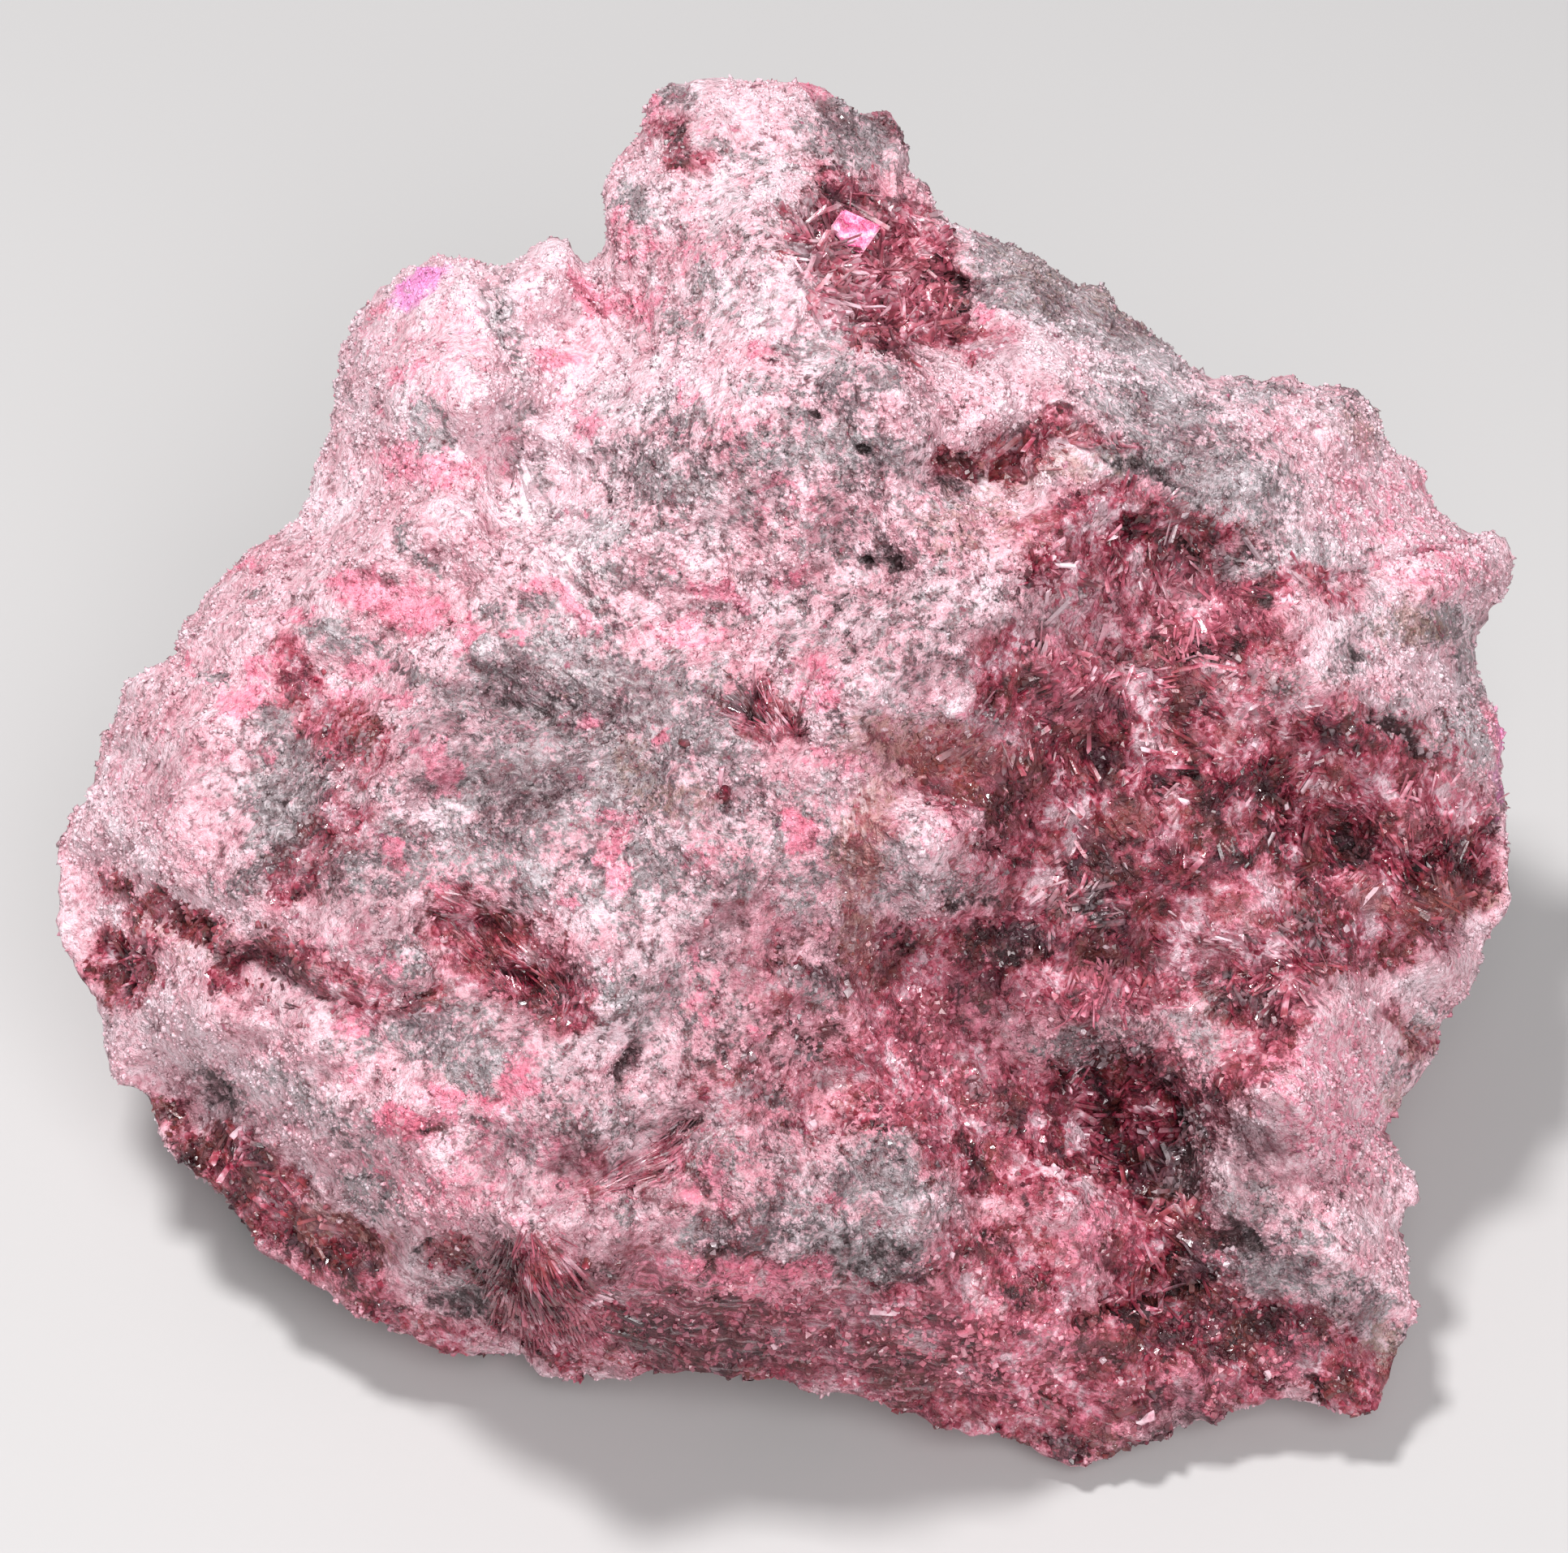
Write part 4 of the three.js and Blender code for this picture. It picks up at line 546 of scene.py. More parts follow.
# painted shade in holes, pits, grooves and under ledges, with a few places of darker stone; on the other
# sides, dark spots lie at random
dark = {
    "pocketHoleTop": (1026, 240, 26, 20, 40, 0.9), "pocketHoleSide": (1168, 352, 32, 22, 20, 1.0),
    "vugFoot": (1235, 580, 18, 8, -20, 0.25), "smallVug": (1172, 574, 14, 10, 0, 0.4),
    "pitRow": (1080, 684, 13, 8, 10, 1.0), "pitRowTail": (1108, 702, 12, 5, 0, 1.0),
    "pitPair": (1045, 744, 11, 7, 15, 1.0), "pitPairLow": (1035, 770, 8, 6, 0, 0.9),
    "pitBelow": (1050, 798, 14, 9, 0, 0.7), "pitSide": (1004, 512, 8, 10, 0, 0.9),
    "pitCrumb": (1090, 566, 9, 6, 0, 0.9), "pitLeft": (1060, 556, 10, 8, 0, 0.6),
    "midStone": (1180, 595, 26, 10, 0, 0.5), "cleft": (656, 586, 5, 16, -30, 0.6),
    "slit": (622, 380, 4, 34, -14, 0.7), "fanFloor": (938, 880, 26, 16, 30, 0.9),
    "slot": (630, 868, 50, 6, 12, 0.7), "slotTail": (690, 884, 22, 6, 20, 0.6),
    "leftMass": (350, 1010, 50, 60, 0, 0.42), "fibreMass": (690, 870, 110, 40, 14, 0.34),
    "fibreLow": (640, 980, 60, 40, 10, 0.36), "leftPocketFloor": (650, 1198, 38, 14, 10, 0.7),
    "leftPocketLow": (672, 1230, 20, 20, 20, 0.6), "ledge": (228, 1138, 44, 9, 14, 0.45),
    "ledgeLeft": (170, 1112, 40, 6, 24, 0.35), "notch": (150, 1200, 26, 20, 0, 0.6),
    "bandDark": (388, 1206, 26, 8, 10, 0.4), "bandTail": (486, 1234, 34, 7, 4, 0.3),
    "fieldTop": (1390, 655, 44, 6, -14, 0.3), "bandTopDark": (1480, 670, 50, 8, 16, 0.9),
    "fieldMid": (1480, 804, 60, 6, 6, 0.9), "fieldMidB": (1570, 750, 14, 14, 0, 0.8),
    "fieldMidC": (1525, 812, 16, 10, 0, 0.8), "fieldHole": (1450, 960, 20, 10, 0, 1.0),
    "fieldHoleB": (1510, 962, 24, 14, 0, 0.7), "fieldHoleC": (1575, 1005, 24, 13, 30, 0.7),
    "fieldHoleD": (1655, 1034, 36, 14, 14, 0.8), "fieldHoleE": (1770, 1064, 34, 13, 6, 1.0),
    "fieldHoleF": (1606, 1086, 16, 14, 0, 0.8), "fieldHoleG": (1700, 1000, 16, 22, 10, 0.5),
    "leftShade": (1270, 800, 14, 60, 0, 0.6), "islandLine": (1240, 1042, 44, 7, 8, 0.6),
    "islandLow": (1190, 1120, 34, 10, 0, 0.6), "fieldBrown": (1330, 1110, 50, 34, 0, 0.5),
    "darkCorner": (1230, 1180, 30, 26, 0, 0.8), "darkRow": (1210, 1156, 40, 7, 0, 0.9),
    "hollowTop": (1338, 1322, 36, 10, 4, 1.0), "hollowRight": (1424, 1350, 34, 12, 14, 0.45),
    "hollowCore": (1452, 1374, 14, 24, 0, 0.6), "hollowLeft": (1352, 1358, 24, 14, 10, 0.8),
    "lensUnder": (1398, 1424, 56, 16, -12, 0.75), "edgeDark": (1440, 1478, 18, 12, 0, 1.0),
    "wallDark": (1476, 1440, 16, 50, 0, 0.7), "wallDarkB": (1520, 1530, 44, 26, 0, 0.7),
    "groove": (1410, 1604, 90, 9, -4, 1.0), "grooveLow": (1390, 1620, 20, 10, 20, 0.8),
    "rightDark": (1622, 1718, 18, 14, 0, 0.9), "rightDarkB": (1620, 1670, 14, 12, 0, 0.6),
    "wedge": (790, 1446, 46, 8, -12, 0.9), "wedgeTop": (835, 1402, 26, 6, -4, 0.8),
    "crack": (1625, 1492, 26, 5, -10, 0.9), "flank": (262, 1338, 16, 34, -40, 0.6),
    "flankB": (240, 1410, 26, 14, 30, 0.6), "sprayDark": (636, 1570, 10, 30, 10, 0.8),
    "chinDark": (560, 1610, 26, 16, 10, 0.6), "sprayTop": (658, 1495, 6, 14, 0, 0.8),
    "chipA": (520, 1530, 24, 7, -20, 0.9), "chipB": (768, 1322, 10, 20, 10, 0.7),
    "greyFoot": (1060, 1590, 40, 12, 0, 0.5), "knobsDark": (1050, 1540, 80, 40, 0, 0.5),
    "knobsDarkB": (895, 1545, 26, 22, 0, 0.5), "centreDark": (1205, 1355, 14, 14, 0, 0.4),
    "frontHole": (1250, 1590, 24, 14, 0, 0.6), "rightMottle": (1700, 888, 16, 12, 0, 0.8),
    "rightMottleB": (1735, 916, 11, 14, 0, 0.8), "rightMottleC": (1776, 930, 10, 10, 0, 0.7),
    "rightMottleD": (1665, 816, 12, 14, 0, 0.6), "darkBand": (1535, 700, 22, 7, 6, 0.5),
    "greyEdge": (1410, 590, 60, 12, 16, 0.6), "footWide": (1520, 1650, 110, 34, 0, 0.5),
    "lowFoot": (1440, 1760, 70, 20, -30, 0.5),
}
dusk = {                                   # painted shade: places that lie darker than their own colour
    "peakLeft": (850, 150, 50, 34, 10, 0.35), "peakRight": (1050, 150, 50, 44, 20, 0.8),
    "shoulder": (450, 450, 30, 60, 0, 0.25), "fibreLow": (650, 950, 90, 50, 0, 0.6),
    "fibreLeft": (560, 930, 60, 80, 0, 0.65), "leftMass": (350, 960, 50, 60, 0, 0.4),
    "fieldTop": (1450, 850, 60, 40, 0, 0.5), "stem": (1080, 960, 110, 40, 10, 0.4),
    "fieldMiddle": (1350, 1060, 60, 60, 0, 0.4), "fieldFoot": (1340, 1160, 70, 40, 0, 0.4),
    "leftPocket": (450, 1140, 60, 40, 0, 0.6), "block": (940, 1140, 90, 50, 0, 0.5),
    "notch": (150, 1250, 70, 30, 10, 0.4), "wallStart": (1340, 1260, 130, 24, 0, 0.4),
    "fringe": (740, 1340, 70, 60, -20, 0.5), "wedgeLeft": (670, 1440, 90, 50, 0, 0.7),
    "wedgeRight": (790, 1460, 60, 50, 0, 0.5), "knobs": (1050, 1450, 60, 50, 0, 0.45),
    "wall": (1520, 1440, 70, 70, 20, 0.9), "chin": (560, 1560, 70, 40, 20, 0.45),
    "sprayRight": (760, 1560, 60, 50, 0, 0.55), "frontEdge": (860, 1650, 90, 40, 10, 0.85),
    "frontEdgeRight": (1010, 1650, 90, 40, 10, 0.4), "foot": (1460, 1640, 60, 40, 0, 0.8),
    "footRight": (1560, 1650, 60, 50, 0, 1.0), "footEdge": (1650, 1640, 50, 50, 0, 0.5),
    "lowFoot": (1450, 1750, 70, 40, -20, 0.9), "wallLow": (1450, 1550, 40, 50, 0, 0.4),
    "flank": (340, 1480, 130, 40, 44, 0.5), "flankLeft": (240, 1370, 60, 40, 40, 0.4),
    "fieldLeft": (1250, 960, 130, 60, 0, 0.4), "streaks": (390, 1060, 90, 60, 0, 0.5),
    "fieldEdge": (1710, 1150, 90, 50, -24, 0.3), "middleLow": (960, 1170, 180, 60, 0, 0.6),
    "lowLeft": (140, 1250, 60, 40, 0, 0.4), "frontRight": (1080, 1660, 90, 40, 10, 0.75),
    "shelf": (1080, 760, 190, 50, 0, 0.35), "blockLow": (860, 1280, 70, 130, 0, 0.35),
    "slope": (350, 1200, 60, 60, 0, 0.3), "lowMiddle": (640, 1260, 60, 40, 0, 0.4),
    "knotRow": (1260, 1250, 60, 40, 0, 0.4), "frontKnobs": (1000, 1450, 150, 50, 0, 0.3),
    "middle": (740, 920, 220, 120, 10, 0.22), "greyLeft": (550, 900, 60, 80, 0, 0.5),
    "stripFoot": (1250, 450, 50, 24, 20, 0.4), "leftLow": (250, 960, 70, 50, 0, 0.25),
    "frontLeft": (640, 1550, 110, 50, 10, 0.3), "frontMiddle": (950, 1660, 150, 40, 6, 0.8),
    "lowHollow": (1440, 1550, 50, 50, 0, 0.4),
}
tan = {
    "greyStrip": (1320, 350, 110, 36, 30, 0.34), "cleftRed": (700, 446, 20, 8, 10, 0.5),
    "brownSlope": (1150, 930, 90, 44, 10, 0.9), "brownStem": (1056, 1080, 30, 110, 4, 0.9),
    "fieldWarm": (1400, 1010, 60, 20, 0, 0.6), "fieldWarmB": (1760, 1110, 80, 26, -6, 0.8),
    "slopeOrange": (430, 1520, 50, 16, 28, 1.0), "slopeOrangeB": (560, 1530, 30, 14, 10, 0.5),
    "wallTan": (1700, 1660, 24, 44, 10, 0.6), "leftStem": (780, 940, 30, 24, 30, 0.5),
    "middleTan": (1280, 580, 90, 26, 4, 0.6), "middleTanB": (1200, 640, 80, 40, 0, 0.4),
    "wallTanB": (1730, 1370, 20, 30, 0, 0.5), "rightBrown": (1735, 775, 36, 32, 0, 0.7),
    "slotBrown": (830, 990, 60, 26, 0, 0.5), "kneeTan": (1746, 1272, 40, 14, 46, 0.7),
    "rimTan": (1680, 530, 30, 22, 30, 0.5), "ledgeTan": (220, 1150, 60, 20, 14, 0.4),
}
magenta = {"spot": (526, 354, 32, 12, -28, 1.0), "rim": (1846, 940, 10, 60, 0, 0.4)}
# painted shade: where small pits are darkened near black
pitted = {
    "shelf": (1120, 680, 170, 90, 4, 1.0), "shelfLeft": (880, 560, 150, 90, 6, 0.8),
    "shelfTop": (790, 500, 70, 30, 0, 0.8), "shelfRight": (1200, 530, 110, 60, 10, 0.7),
    "middle": (960, 700, 140, 70, 0, 0.6), "blockHeart": (755, 1215, 60, 46, 0, 0.9),
    "knobs": (1000, 1500, 150, 70, 0, 0.5), "rightGrey": (1740, 880, 90, 70, 20, 0.7),
    "lowLeft": (210, 1260, 90, 50, 0, 0.5), "peakFace": (880, 330, 110, 60, 0, 0.3),
    "fieldMiddle": (1400, 900, 200, 200, 0, 0.4), "lowField": (1150, 1350, 160, 120, 0, 0.4),
}
fibrous = {                                # fibres run along each place's own width
    "greyMass": (700, 850, 150, 56, 26, 0.5), "greyMassLow": (690, 960, 130, 50, 14, 0.35),
    "fall": (700, 690, 130, 34, 44, 0.8), "valley": (648, 540, 74, 14, 76, 0.5),
    "slit": (624, 400, 60, 8, 80, 1.0), "middle": (840, 650, 150, 50, 12, 0.3),
    "wedgeRose": (764, 1050, 62, 28, 78, 0.7), "wedgeBack": (800, 1440, 90, 34, -22, 0.8),
    "peakFan": (836, 184, 50, 26, 36, 0.9), "lens": (1345, 534, 48, 14, 10, 1.0),
    "frontFlank": (960, 1650, 260, 56, 6, 0.9), "frontFlankRight": (1230, 1700, 160, 60, 24, 0.6),
    "leftMass": (352, 990, 70, 50, 70, 0.6), "leftBand": (400, 1195, 120, 18, 16, 0.7),
    "stem": (1056, 1080, 120, 32, 84, 0.8), "footGrey": (1480, 1200, 90, 50, -34, 0.7),
    "spray": (640, 1560, 90, 60, 62, 0.7), "rightStem": (1826, 820, 70, 14, 86, 0.7),
    "darkBand": (1535, 695, 70, 24, 6, 0.8), "greyStrip": (1340, 370, 150, 40, 32, 0.3),
    "wall": (1500, 1440, 90, 26, 68, 0.6), "islandSide": (1120, 1060, 70, 24, 80, 0.5),
    "leftFlank": (340, 1470, 150, 40, 42, 0.6), "chin": (560, 1600, 90, 40, 34, 0.5),
    "upperField": (1400, 760, 120, 80, 62, 0.7),
}
fields = {"white": white, "rose": rose, "grey": grey, "crimson": crimson, "dark": dark, "dusk": dusk,
          "tan": tan, "magenta": magenta, "pitted": pitted, "fibrous": fibrous}
unseen = {                                 # on the other sides: strength, the noise it starts and is full at,
    "white": (1, 0.50, 0.75, 0.020, 3),    # the noise's size, and which noise
    "rose": (1, 0.55, 0.8, 0.012, 11),
    "grey": (1, 0.52, 0.75, 0.017, 23),
    "tan": (1, 0.60, 0.85, 0.015, 31),
    "crimson": (0.8, 0.56, 0.82, 0.016, 43),
    "dark": (0.6, 0.66, 0.90, 0.008, 57),
}


def paintFields(mesh, px, py, seen):
    points = coordinates(mesh)
    for name, places in fields.items():
        total = np.zeros(len(points))
        for place in places.values():
            total = np.maximum(total, within(px, py, place))
        rest = 0
        if name in unseen:
            strength, low, high, size, offset = unseen[name]
            rest = strength * smooth(low, high, wander(points, size, offset))
        store(mesh, name, total * seen + rest * (1 - seen))


def combed(points, px, py):                # places squeezed along the fibres, so a noise on them draws out
    along = Vector((0.75, 0, 0)) - 0.65 * upward
    direction = np.tile(np.array(along.normalized()), (len(points), 1))
    strongest = np.full(len(points), 0.05)
    for place in fibrous.values():
        turn = math.radians(place[4])
        run = np.array(Vector((math.cos(turn), 0, 0)) - math.sin(turn) * upward)
        strength = within(px, py, place)
        direction[strength > strongest] = run
        strongest = np.maximum(strongest, strength)
    return points - relief["combing"] * direction * (points * direction).sum(1)[:, None]


paintFields(stone.data, stoneX, stoneY, stoneSeen)
store(stone.data, "combed", combed(coordinates(stone.data), stoneX, stoneY), "FLOAT_VECTOR")
print("colour fields laid")


def cloud(tree, vector, scale, detail, roughness):
    return add(tree, "ShaderNodeTexNoise", {
        "Vector": vector, "Scale": scale, "Detail": detail, "Roughness": roughness}).outputs[0]


def mapped(tree, value, low, high, toLow=0.0, toHigh=1.0):
    return add(tree, "ShaderNodeMapRange", {
        "Value": value, "From Min": low, "From Max": high, "To Min": toLow, "To Max": toHigh}).outputs[0]


def times(tree, a, b):
    return add(tree, "ShaderNodeMath", {0: a, 1: b}, operation="MULTIPLY").outputs[0]


def plus(tree, a, b):
    return add(tree, "ShaderNodeMath", {0: a, 1: b}, operation="ADD").outputs[0]


def scaled(tree, vector, factor):
    return add(tree, "ShaderNodeVectorMath", {0: vector, "Scale": factor}, operation="SCALE").outputs[0]


def shifted(tree, vector, offset):
    return add(tree, "ShaderNodeVectorMath", {0: vector, 1: offset}, operation="ADD").outputs[0]


def ramp(tree, value, stops):              # a row of (position, colour code)
    made = add(tree, "ShaderNodeValToRGB", {0: value})
    marks = made.color_ramp.elements
    for i, (position, code) in enumerate(stops):
        mark = marks[i] if i < 2 else marks.new(position)
        mark.position, mark.color = position, colour(code)
    return made.outputs[0]


def layer(tree, under, over, mask):        # one colour over another
    over = colour(over) if isinstance(over, str) else over
    return add(tree, "ShaderNodeMix", {0: mask, 6: under, 7: over}, data_type="RGBA").outputs[2]


def field(tree, name):
    return add(tree, "ShaderNodeAttribute", attribute_name=name).outputs["Fac"]


def raised(tree, level, strengths):        # a level with each named field added to it, at a strength
    for name, strength in strengths:
        level = plus(tree, level, times(tree, field(tree, name), strength))
    return level


def raggedGroup():                         # turns a soft field into patches with ragged edges
    group, given, out = newGroup("raggedPatch", "ShaderNodeTree", (
        ("Vector", "Vector"), ("Amount", "Float"), ("Scale", "Float"), ("Raggedness", "Float"),
        ("Edge", "Float")), (("Mask", "Float"),))
    centred = plus(group, cloud(group, given["Vector"], given["Scale"], 3.0, 0.74), -0.5)
    both = plus(group, times(group, centred, given["Raggedness"]), given["Amount"])
    low = add(group, "ShaderNodeMath", {0: 0.5, 1: given["Edge"]}, operation="SUBTRACT").outputs[0]
    group.links.new(mapped(group, both, low, plus(group, given["Edge"], 0.5)), out["Mask"])
    return group


def crumbGroup():                          # the sugary grain: its height, the painted shade of its crevices and broken fine cracks drawn as painted shadow lines
    group, given, out = newGroup("sugaryGrain", "ShaderNodeTree", (
        ("Vector", "Vector"), ("Grain", "Float")), (
        ("Height", "Float"), ("CreviceShade", "Float"), ("Crack", "Float")))
    where, size = given["Vector"], given["Grain"]
    stray = add(group, "ShaderNodeTexNoise", {"Vector": where, "Scale": size, "Detail": 0.0}).outputs["Color"]
    bent = shifted(group, where, scaled(group, stray, 0.0005))
    coarse = add(group, "ShaderNodeTexVoronoi", {"Vector": bent, "Scale": size}).outputs["Distance"]
    dust = cloud(group, where, times(group, size, 1.8), 2.0, 0.8)
    height = plus(group, times(group, coarse, -0.6), times(group, dust, 0.9))
    curled = shifted(group, where, scaled(group, stray, 0.0016))
    crackSize = times(group, size, 0.6)
    edge = add(group, "ShaderNodeTexVoronoi", {"Vector": curled, "Scale": crackSize},
               feature="DISTANCE_TO_EDGE").outputs["Distance"]
    broken = mapped(group, cloud(group, where, crackSize, 1.0, 0.6), 0.54, 0.64)
    group.links.new(height, out["Height"])
    # painted shade where the grain lies low
    group.links.new(mapped(group, height, 0.08, -0.14), out["CreviceShade"])
    # painted shadow lines, drawn like broken fine cracks
    group.links.new(times(group, mapped(group, edge, 0.10, 0.02), broken), out["Crack"])
    return group


ragged, sugary = raggedGroup(), crumbGroup()


def patch(tree, vector, amount, scale, raggedness, edge):
    return add(tree, "ShaderNodeGroup", {
        "Vector": vector, "Amount": amount, "Scale": scale, "Raggedness": raggedness, "Edge": edge},
        node_tree=ragged).outputs["Mask"]


rubyLook = {
    "tones": ((0.24, "#2a060e"), (0.36, "#560f1f"), (0.46, "#7c2236"), (0.54, "#98374b"), (0.63, "#b05f71"),
              (0.72, "#c68c9b"), (0.84, "#e0c0ca")),
    "rust": "#8a4741", "mauve": "#78505e",
    "blotch": 260, "middling": 620, "fleck": 1500,     # large, middling and small changes of tone, in a metre
}


def rubyGroup():                           # the crimson of the crystals, from near black to pale pink
    group, given, out = newGroup("crimsonTone", "ShaderNodeTree", (
        ("Vector", "Vector"), ("Level", "Float"), ("Rust", "Float")), (("Color", "Color"),))
    where, look = given["Vector"], rubyLook
    level = plus(group, given["Level"], 0.5)
    for name, detail, strength in (("blotch", 1, 1.4), ("middling", 2, 1.1), ("fleck", 2, 0.7)):
        centred = plus(group, cloud(group, where, look[name], detail, 0.6), -0.5)
        level = plus(group, level, times(group, centred, strength))
    tone = ramp(group, level, look["tones"])
    elsewhere = shifted(group, where, (0.13, 0.07, 0.21))
    rust = times(group, patch(group, elsewhere, 0.36, 380, 2.6, 0.25), 0.5)
    mauve = times(group, patch(group, elsewhere, 0.33, 560, 2.8, 0.25), 0.42)
    tone = layer(group, tone, look["rust"], plus(group, given["Rust"], rust))
    tone = layer(group, tone, look["mauve"], mauve)
    group.links.new(tone, out["Color"])
    return group


rubyTone = rubyGroup()


def newMaterial(name):
    made = bpy.data.materials.new(name)
    made.use_nodes = True
    made.node_tree.nodes.clear()
    return made, made.node_tree


def principled(tree, values):              # the shader that ends a material
    shader = add(tree, "ShaderNodeBsdfPrincipled", values)
    add(tree, "ShaderNodeOutputMaterial", {0: shader.outputs[0]})


matrixLook = {
    "ground": ((0.18, "#a8606f"), (0.30, "#bf7f8d"), (0.41, "#d09ba7"), (0.50, "#dbb0ba"), (0.60, "#e2c1ca"),
               (0.72, "#e9d1d9"), (0.86, "#efdee4")),
    "rose": ((0.30, "#c04a66"), (0.44, "#d8728b"), (0.56, "#e593a9"), (0.72, "#efb7c6")),
    "ruby": ((0.30, "#67202e"), (0.42, "#9c3d50"), (0.52, "#bd6176"), (0.62, "#d88c9e"), (0.74, "#eebfca")),
    "grey": ((0.30, "#433338"), (0.42, "#675b60"), (0.52, "#868082"), (0.62, "#a79fa3"), (0.78, "#cbc4c8")),
    # on the next line, beside the stone's own tan and magenta, are the colours of painted shade: broad shade,
    # shade in holes, and dark specks with shade in crevices and low places
    "tan": "#9a7864", "dusk": "#3a151e", "hole": "#22090d", "magenta": "#f58fd2", "speck": "#63353c",
    # crack paints fine lines of shadow between the crumbs
    "crack": "#77434a", "strand": "#fbeef1",
    "grain": 1500,                         # crumbs in a metre
    "bump": 0.00030,                       # how high the crumbs and fibres look, in metres
}


def matrixMaterial():
    made, tree = newMaterial("paleStone")
    look = matrixLook
    where = add(tree, "ShaderNodeTexCoord").outputs["Object"]
    drawnOut = add(tree, "ShaderNodeAttribute", attribute_name="combed").outputs["Vector"]
    grain = add(tree, "ShaderNodeGroup", {"Vector": where, "Grain": look["grain"]}, node_tree=sugary)
    shade, strands = field(tree, "shade"), field(tree, "fibrous")
    fine = plus(tree, cloud(tree, where, 1900, 3, 0.75), -0.5)
    fleck = cloud(tree, where, 1250, 3, 0.72)

    def patched(name, scale, raggedness, edge, strength=1.0):       # ragged patches where a field lies
        return times(tree, patch(tree, where, field(tree, name), scale, raggedness, edge), strength)

    def over(tone, name, mask):            # one of the look's own colours over the tone
        return layer(tree, tone, look[name], mask)

    ground = mapped(tree, cloud(tree, where, 330, 3, 0.62), 0.0, 1.0, 0.14, 0.84)
    ground = plus(tree, ground, times(tree, fine, 0.8))
    ground = raised(tree, ground, (("white", 0.14), ("rose", -0.05), ("shade", 0.12)))
    tone = ramp(tree, ground, look["ground"])
    ruby = ramp(tree, plus(tree, fleck, times(tree, shade, 0.10)), look["ruby"])
    tone = layer(tree, tone, ruby, mapped(tree, field(tree, "crimson"), 0.05, 0.55, 0.0, 0.9))

    broad = plus(tree, cloud(tree, where, 250, 2, 0.5), -0.5)
    level = plus(tree, plus(tree, times(tree, broad, 0.7), times(tree, fine, 0.6)), 0.49)
    level = raised(tree, level, (("shade", 0.05), ("white", 0.12)))
    greyMask = patch(tree, where, times(tree, field(tree, "grey"), 0.88), 900, 2.8, 0.17)
    pepper = mapped(tree, cloud(tree, where, 3600, 1, 0.7), 0.40, 0.56, 0.74, 0.96)
    tone = layer(tree, tone, ramp(tree, level, look["grey"]), times(tree, greyMask, pepper))
    flecks = times(tree, plus(tree, fleck, -0.5), 1.9)
    rosy = mapped(tree, plus(tree, times(tree, field(tree, "rose"), 0.95), flecks), 0.42, 0.70, 0.0, 0.85)
    blush = ramp(tree, plus(tree, times(tree, ground, 0.6), 0.20), look["rose"])
    tone = layer(tree, tone, blush, rosy)
    tone = over(tone, "tan", patched("tan", 1300, 2.4, 0.25, 0.55))

    level = plus(tree, times(tree, fine, 0.5), 0.03)
    # painted shade: the crimson darkens under the shade fields
    level = raised(tree, level, (("dark", -0.16), ("dusk", -0.10), ("white", 0.14)))
    crimsonTone = add(tree, "ShaderNodeGroup", {
        "Vector": where, "Level": level, "Rust": times(tree, field(tree, "tan"), 0.4)}, node_tree=rubyTone)
    tone = layer(tree, tone, crimsonTone.outputs[0], patched("crimson", 900, 3.0, 0.18))
    tone = over(tone, "magenta", patched("magenta", 900, 1.4, 0.25, 0.8))
    # painted shade over the shaded places, broken up by a slow noise
    shadow = mapped(tree, cloud(tree, where, 620, 3, 0.7), 0.36, 0.64, 0.2, 0.95)
    tone = over(tone, "dusk", times(tree, field(tree, "dusk"), shadow))

    strand = cloud(tree, drawnOut, 2100, 2, 0.65)
    bare = mapped(tree, field(tree, "crimson"), 0.1, 0.7, 0.55, 0.18)
    light = times(tree, mapped(tree, strand, 0.53, 0.64), bare)
    tone = over(tone, "strand", times(tree, light, strands))
    tone = over(tone, "speck", times(tree, mapped(tree, strand, 0.46, 0.35, 0.0, 0.6), strands))
    creviceShadeStrength = mapped(tree, field(tree, "white"), 0.1, 0.8, 1.0, 0.45)        # painted crevice shade is weaker on white places
    # painted shade: darkens the low places of the relief and the crevices between the crumbs
    low = mapped(tree, field(tree, "rough"), 0.02, -0.40, 0.0, 0.4)
    for depth in (low, times(tree, grain.outputs["CreviceShade"], 0.6)):
        tone = over(tone, "speck", times(tree, depth, creviceShadeStrength))
    # painted shadow: fine broken dark lines drawn like cracks
    tone = over(tone, "crack", times(tree, grain.outputs["Crack"], 0.5))
    # painted shade: near black in the holes, grooves and under ledges
    tone = over(tone, "hole", patched("dark", 1100, 1.8, 0.2, 0.9))
    # painted shade in tiny pits, near black
    pitShade = patch(tree, where, mapped(tree, field(tree, "pitted"), 0.0, 1.0, 0.02, 0.24), 1700, 2.4, 0.1)
    tone = over(tone, "hole", times(tree, pitShade, 0.8))

    gloss = mapped(tree, cloud(tree, where, 4200, 1, 0.5), 0.56, 0.64, 0.62, 0.2)
    height = plus(tree, grain.outputs["Height"], times(tree, times(tree, strand, 1.6), strands))
    bump = add(tree, "ShaderNodeBump", {"Height": height, "Distance": look["bump"], "Strength": 0.9})
    principled(tree, {"Base Color": tone, "Roughness": gloss, "Normal": bump.outputs[0]})
    return made


# pale is the colour of painted glints on a few pieces
crystalLook = {"pink": "#df8599", "pale": "#efd3dc", "grey": "#a8989e"}


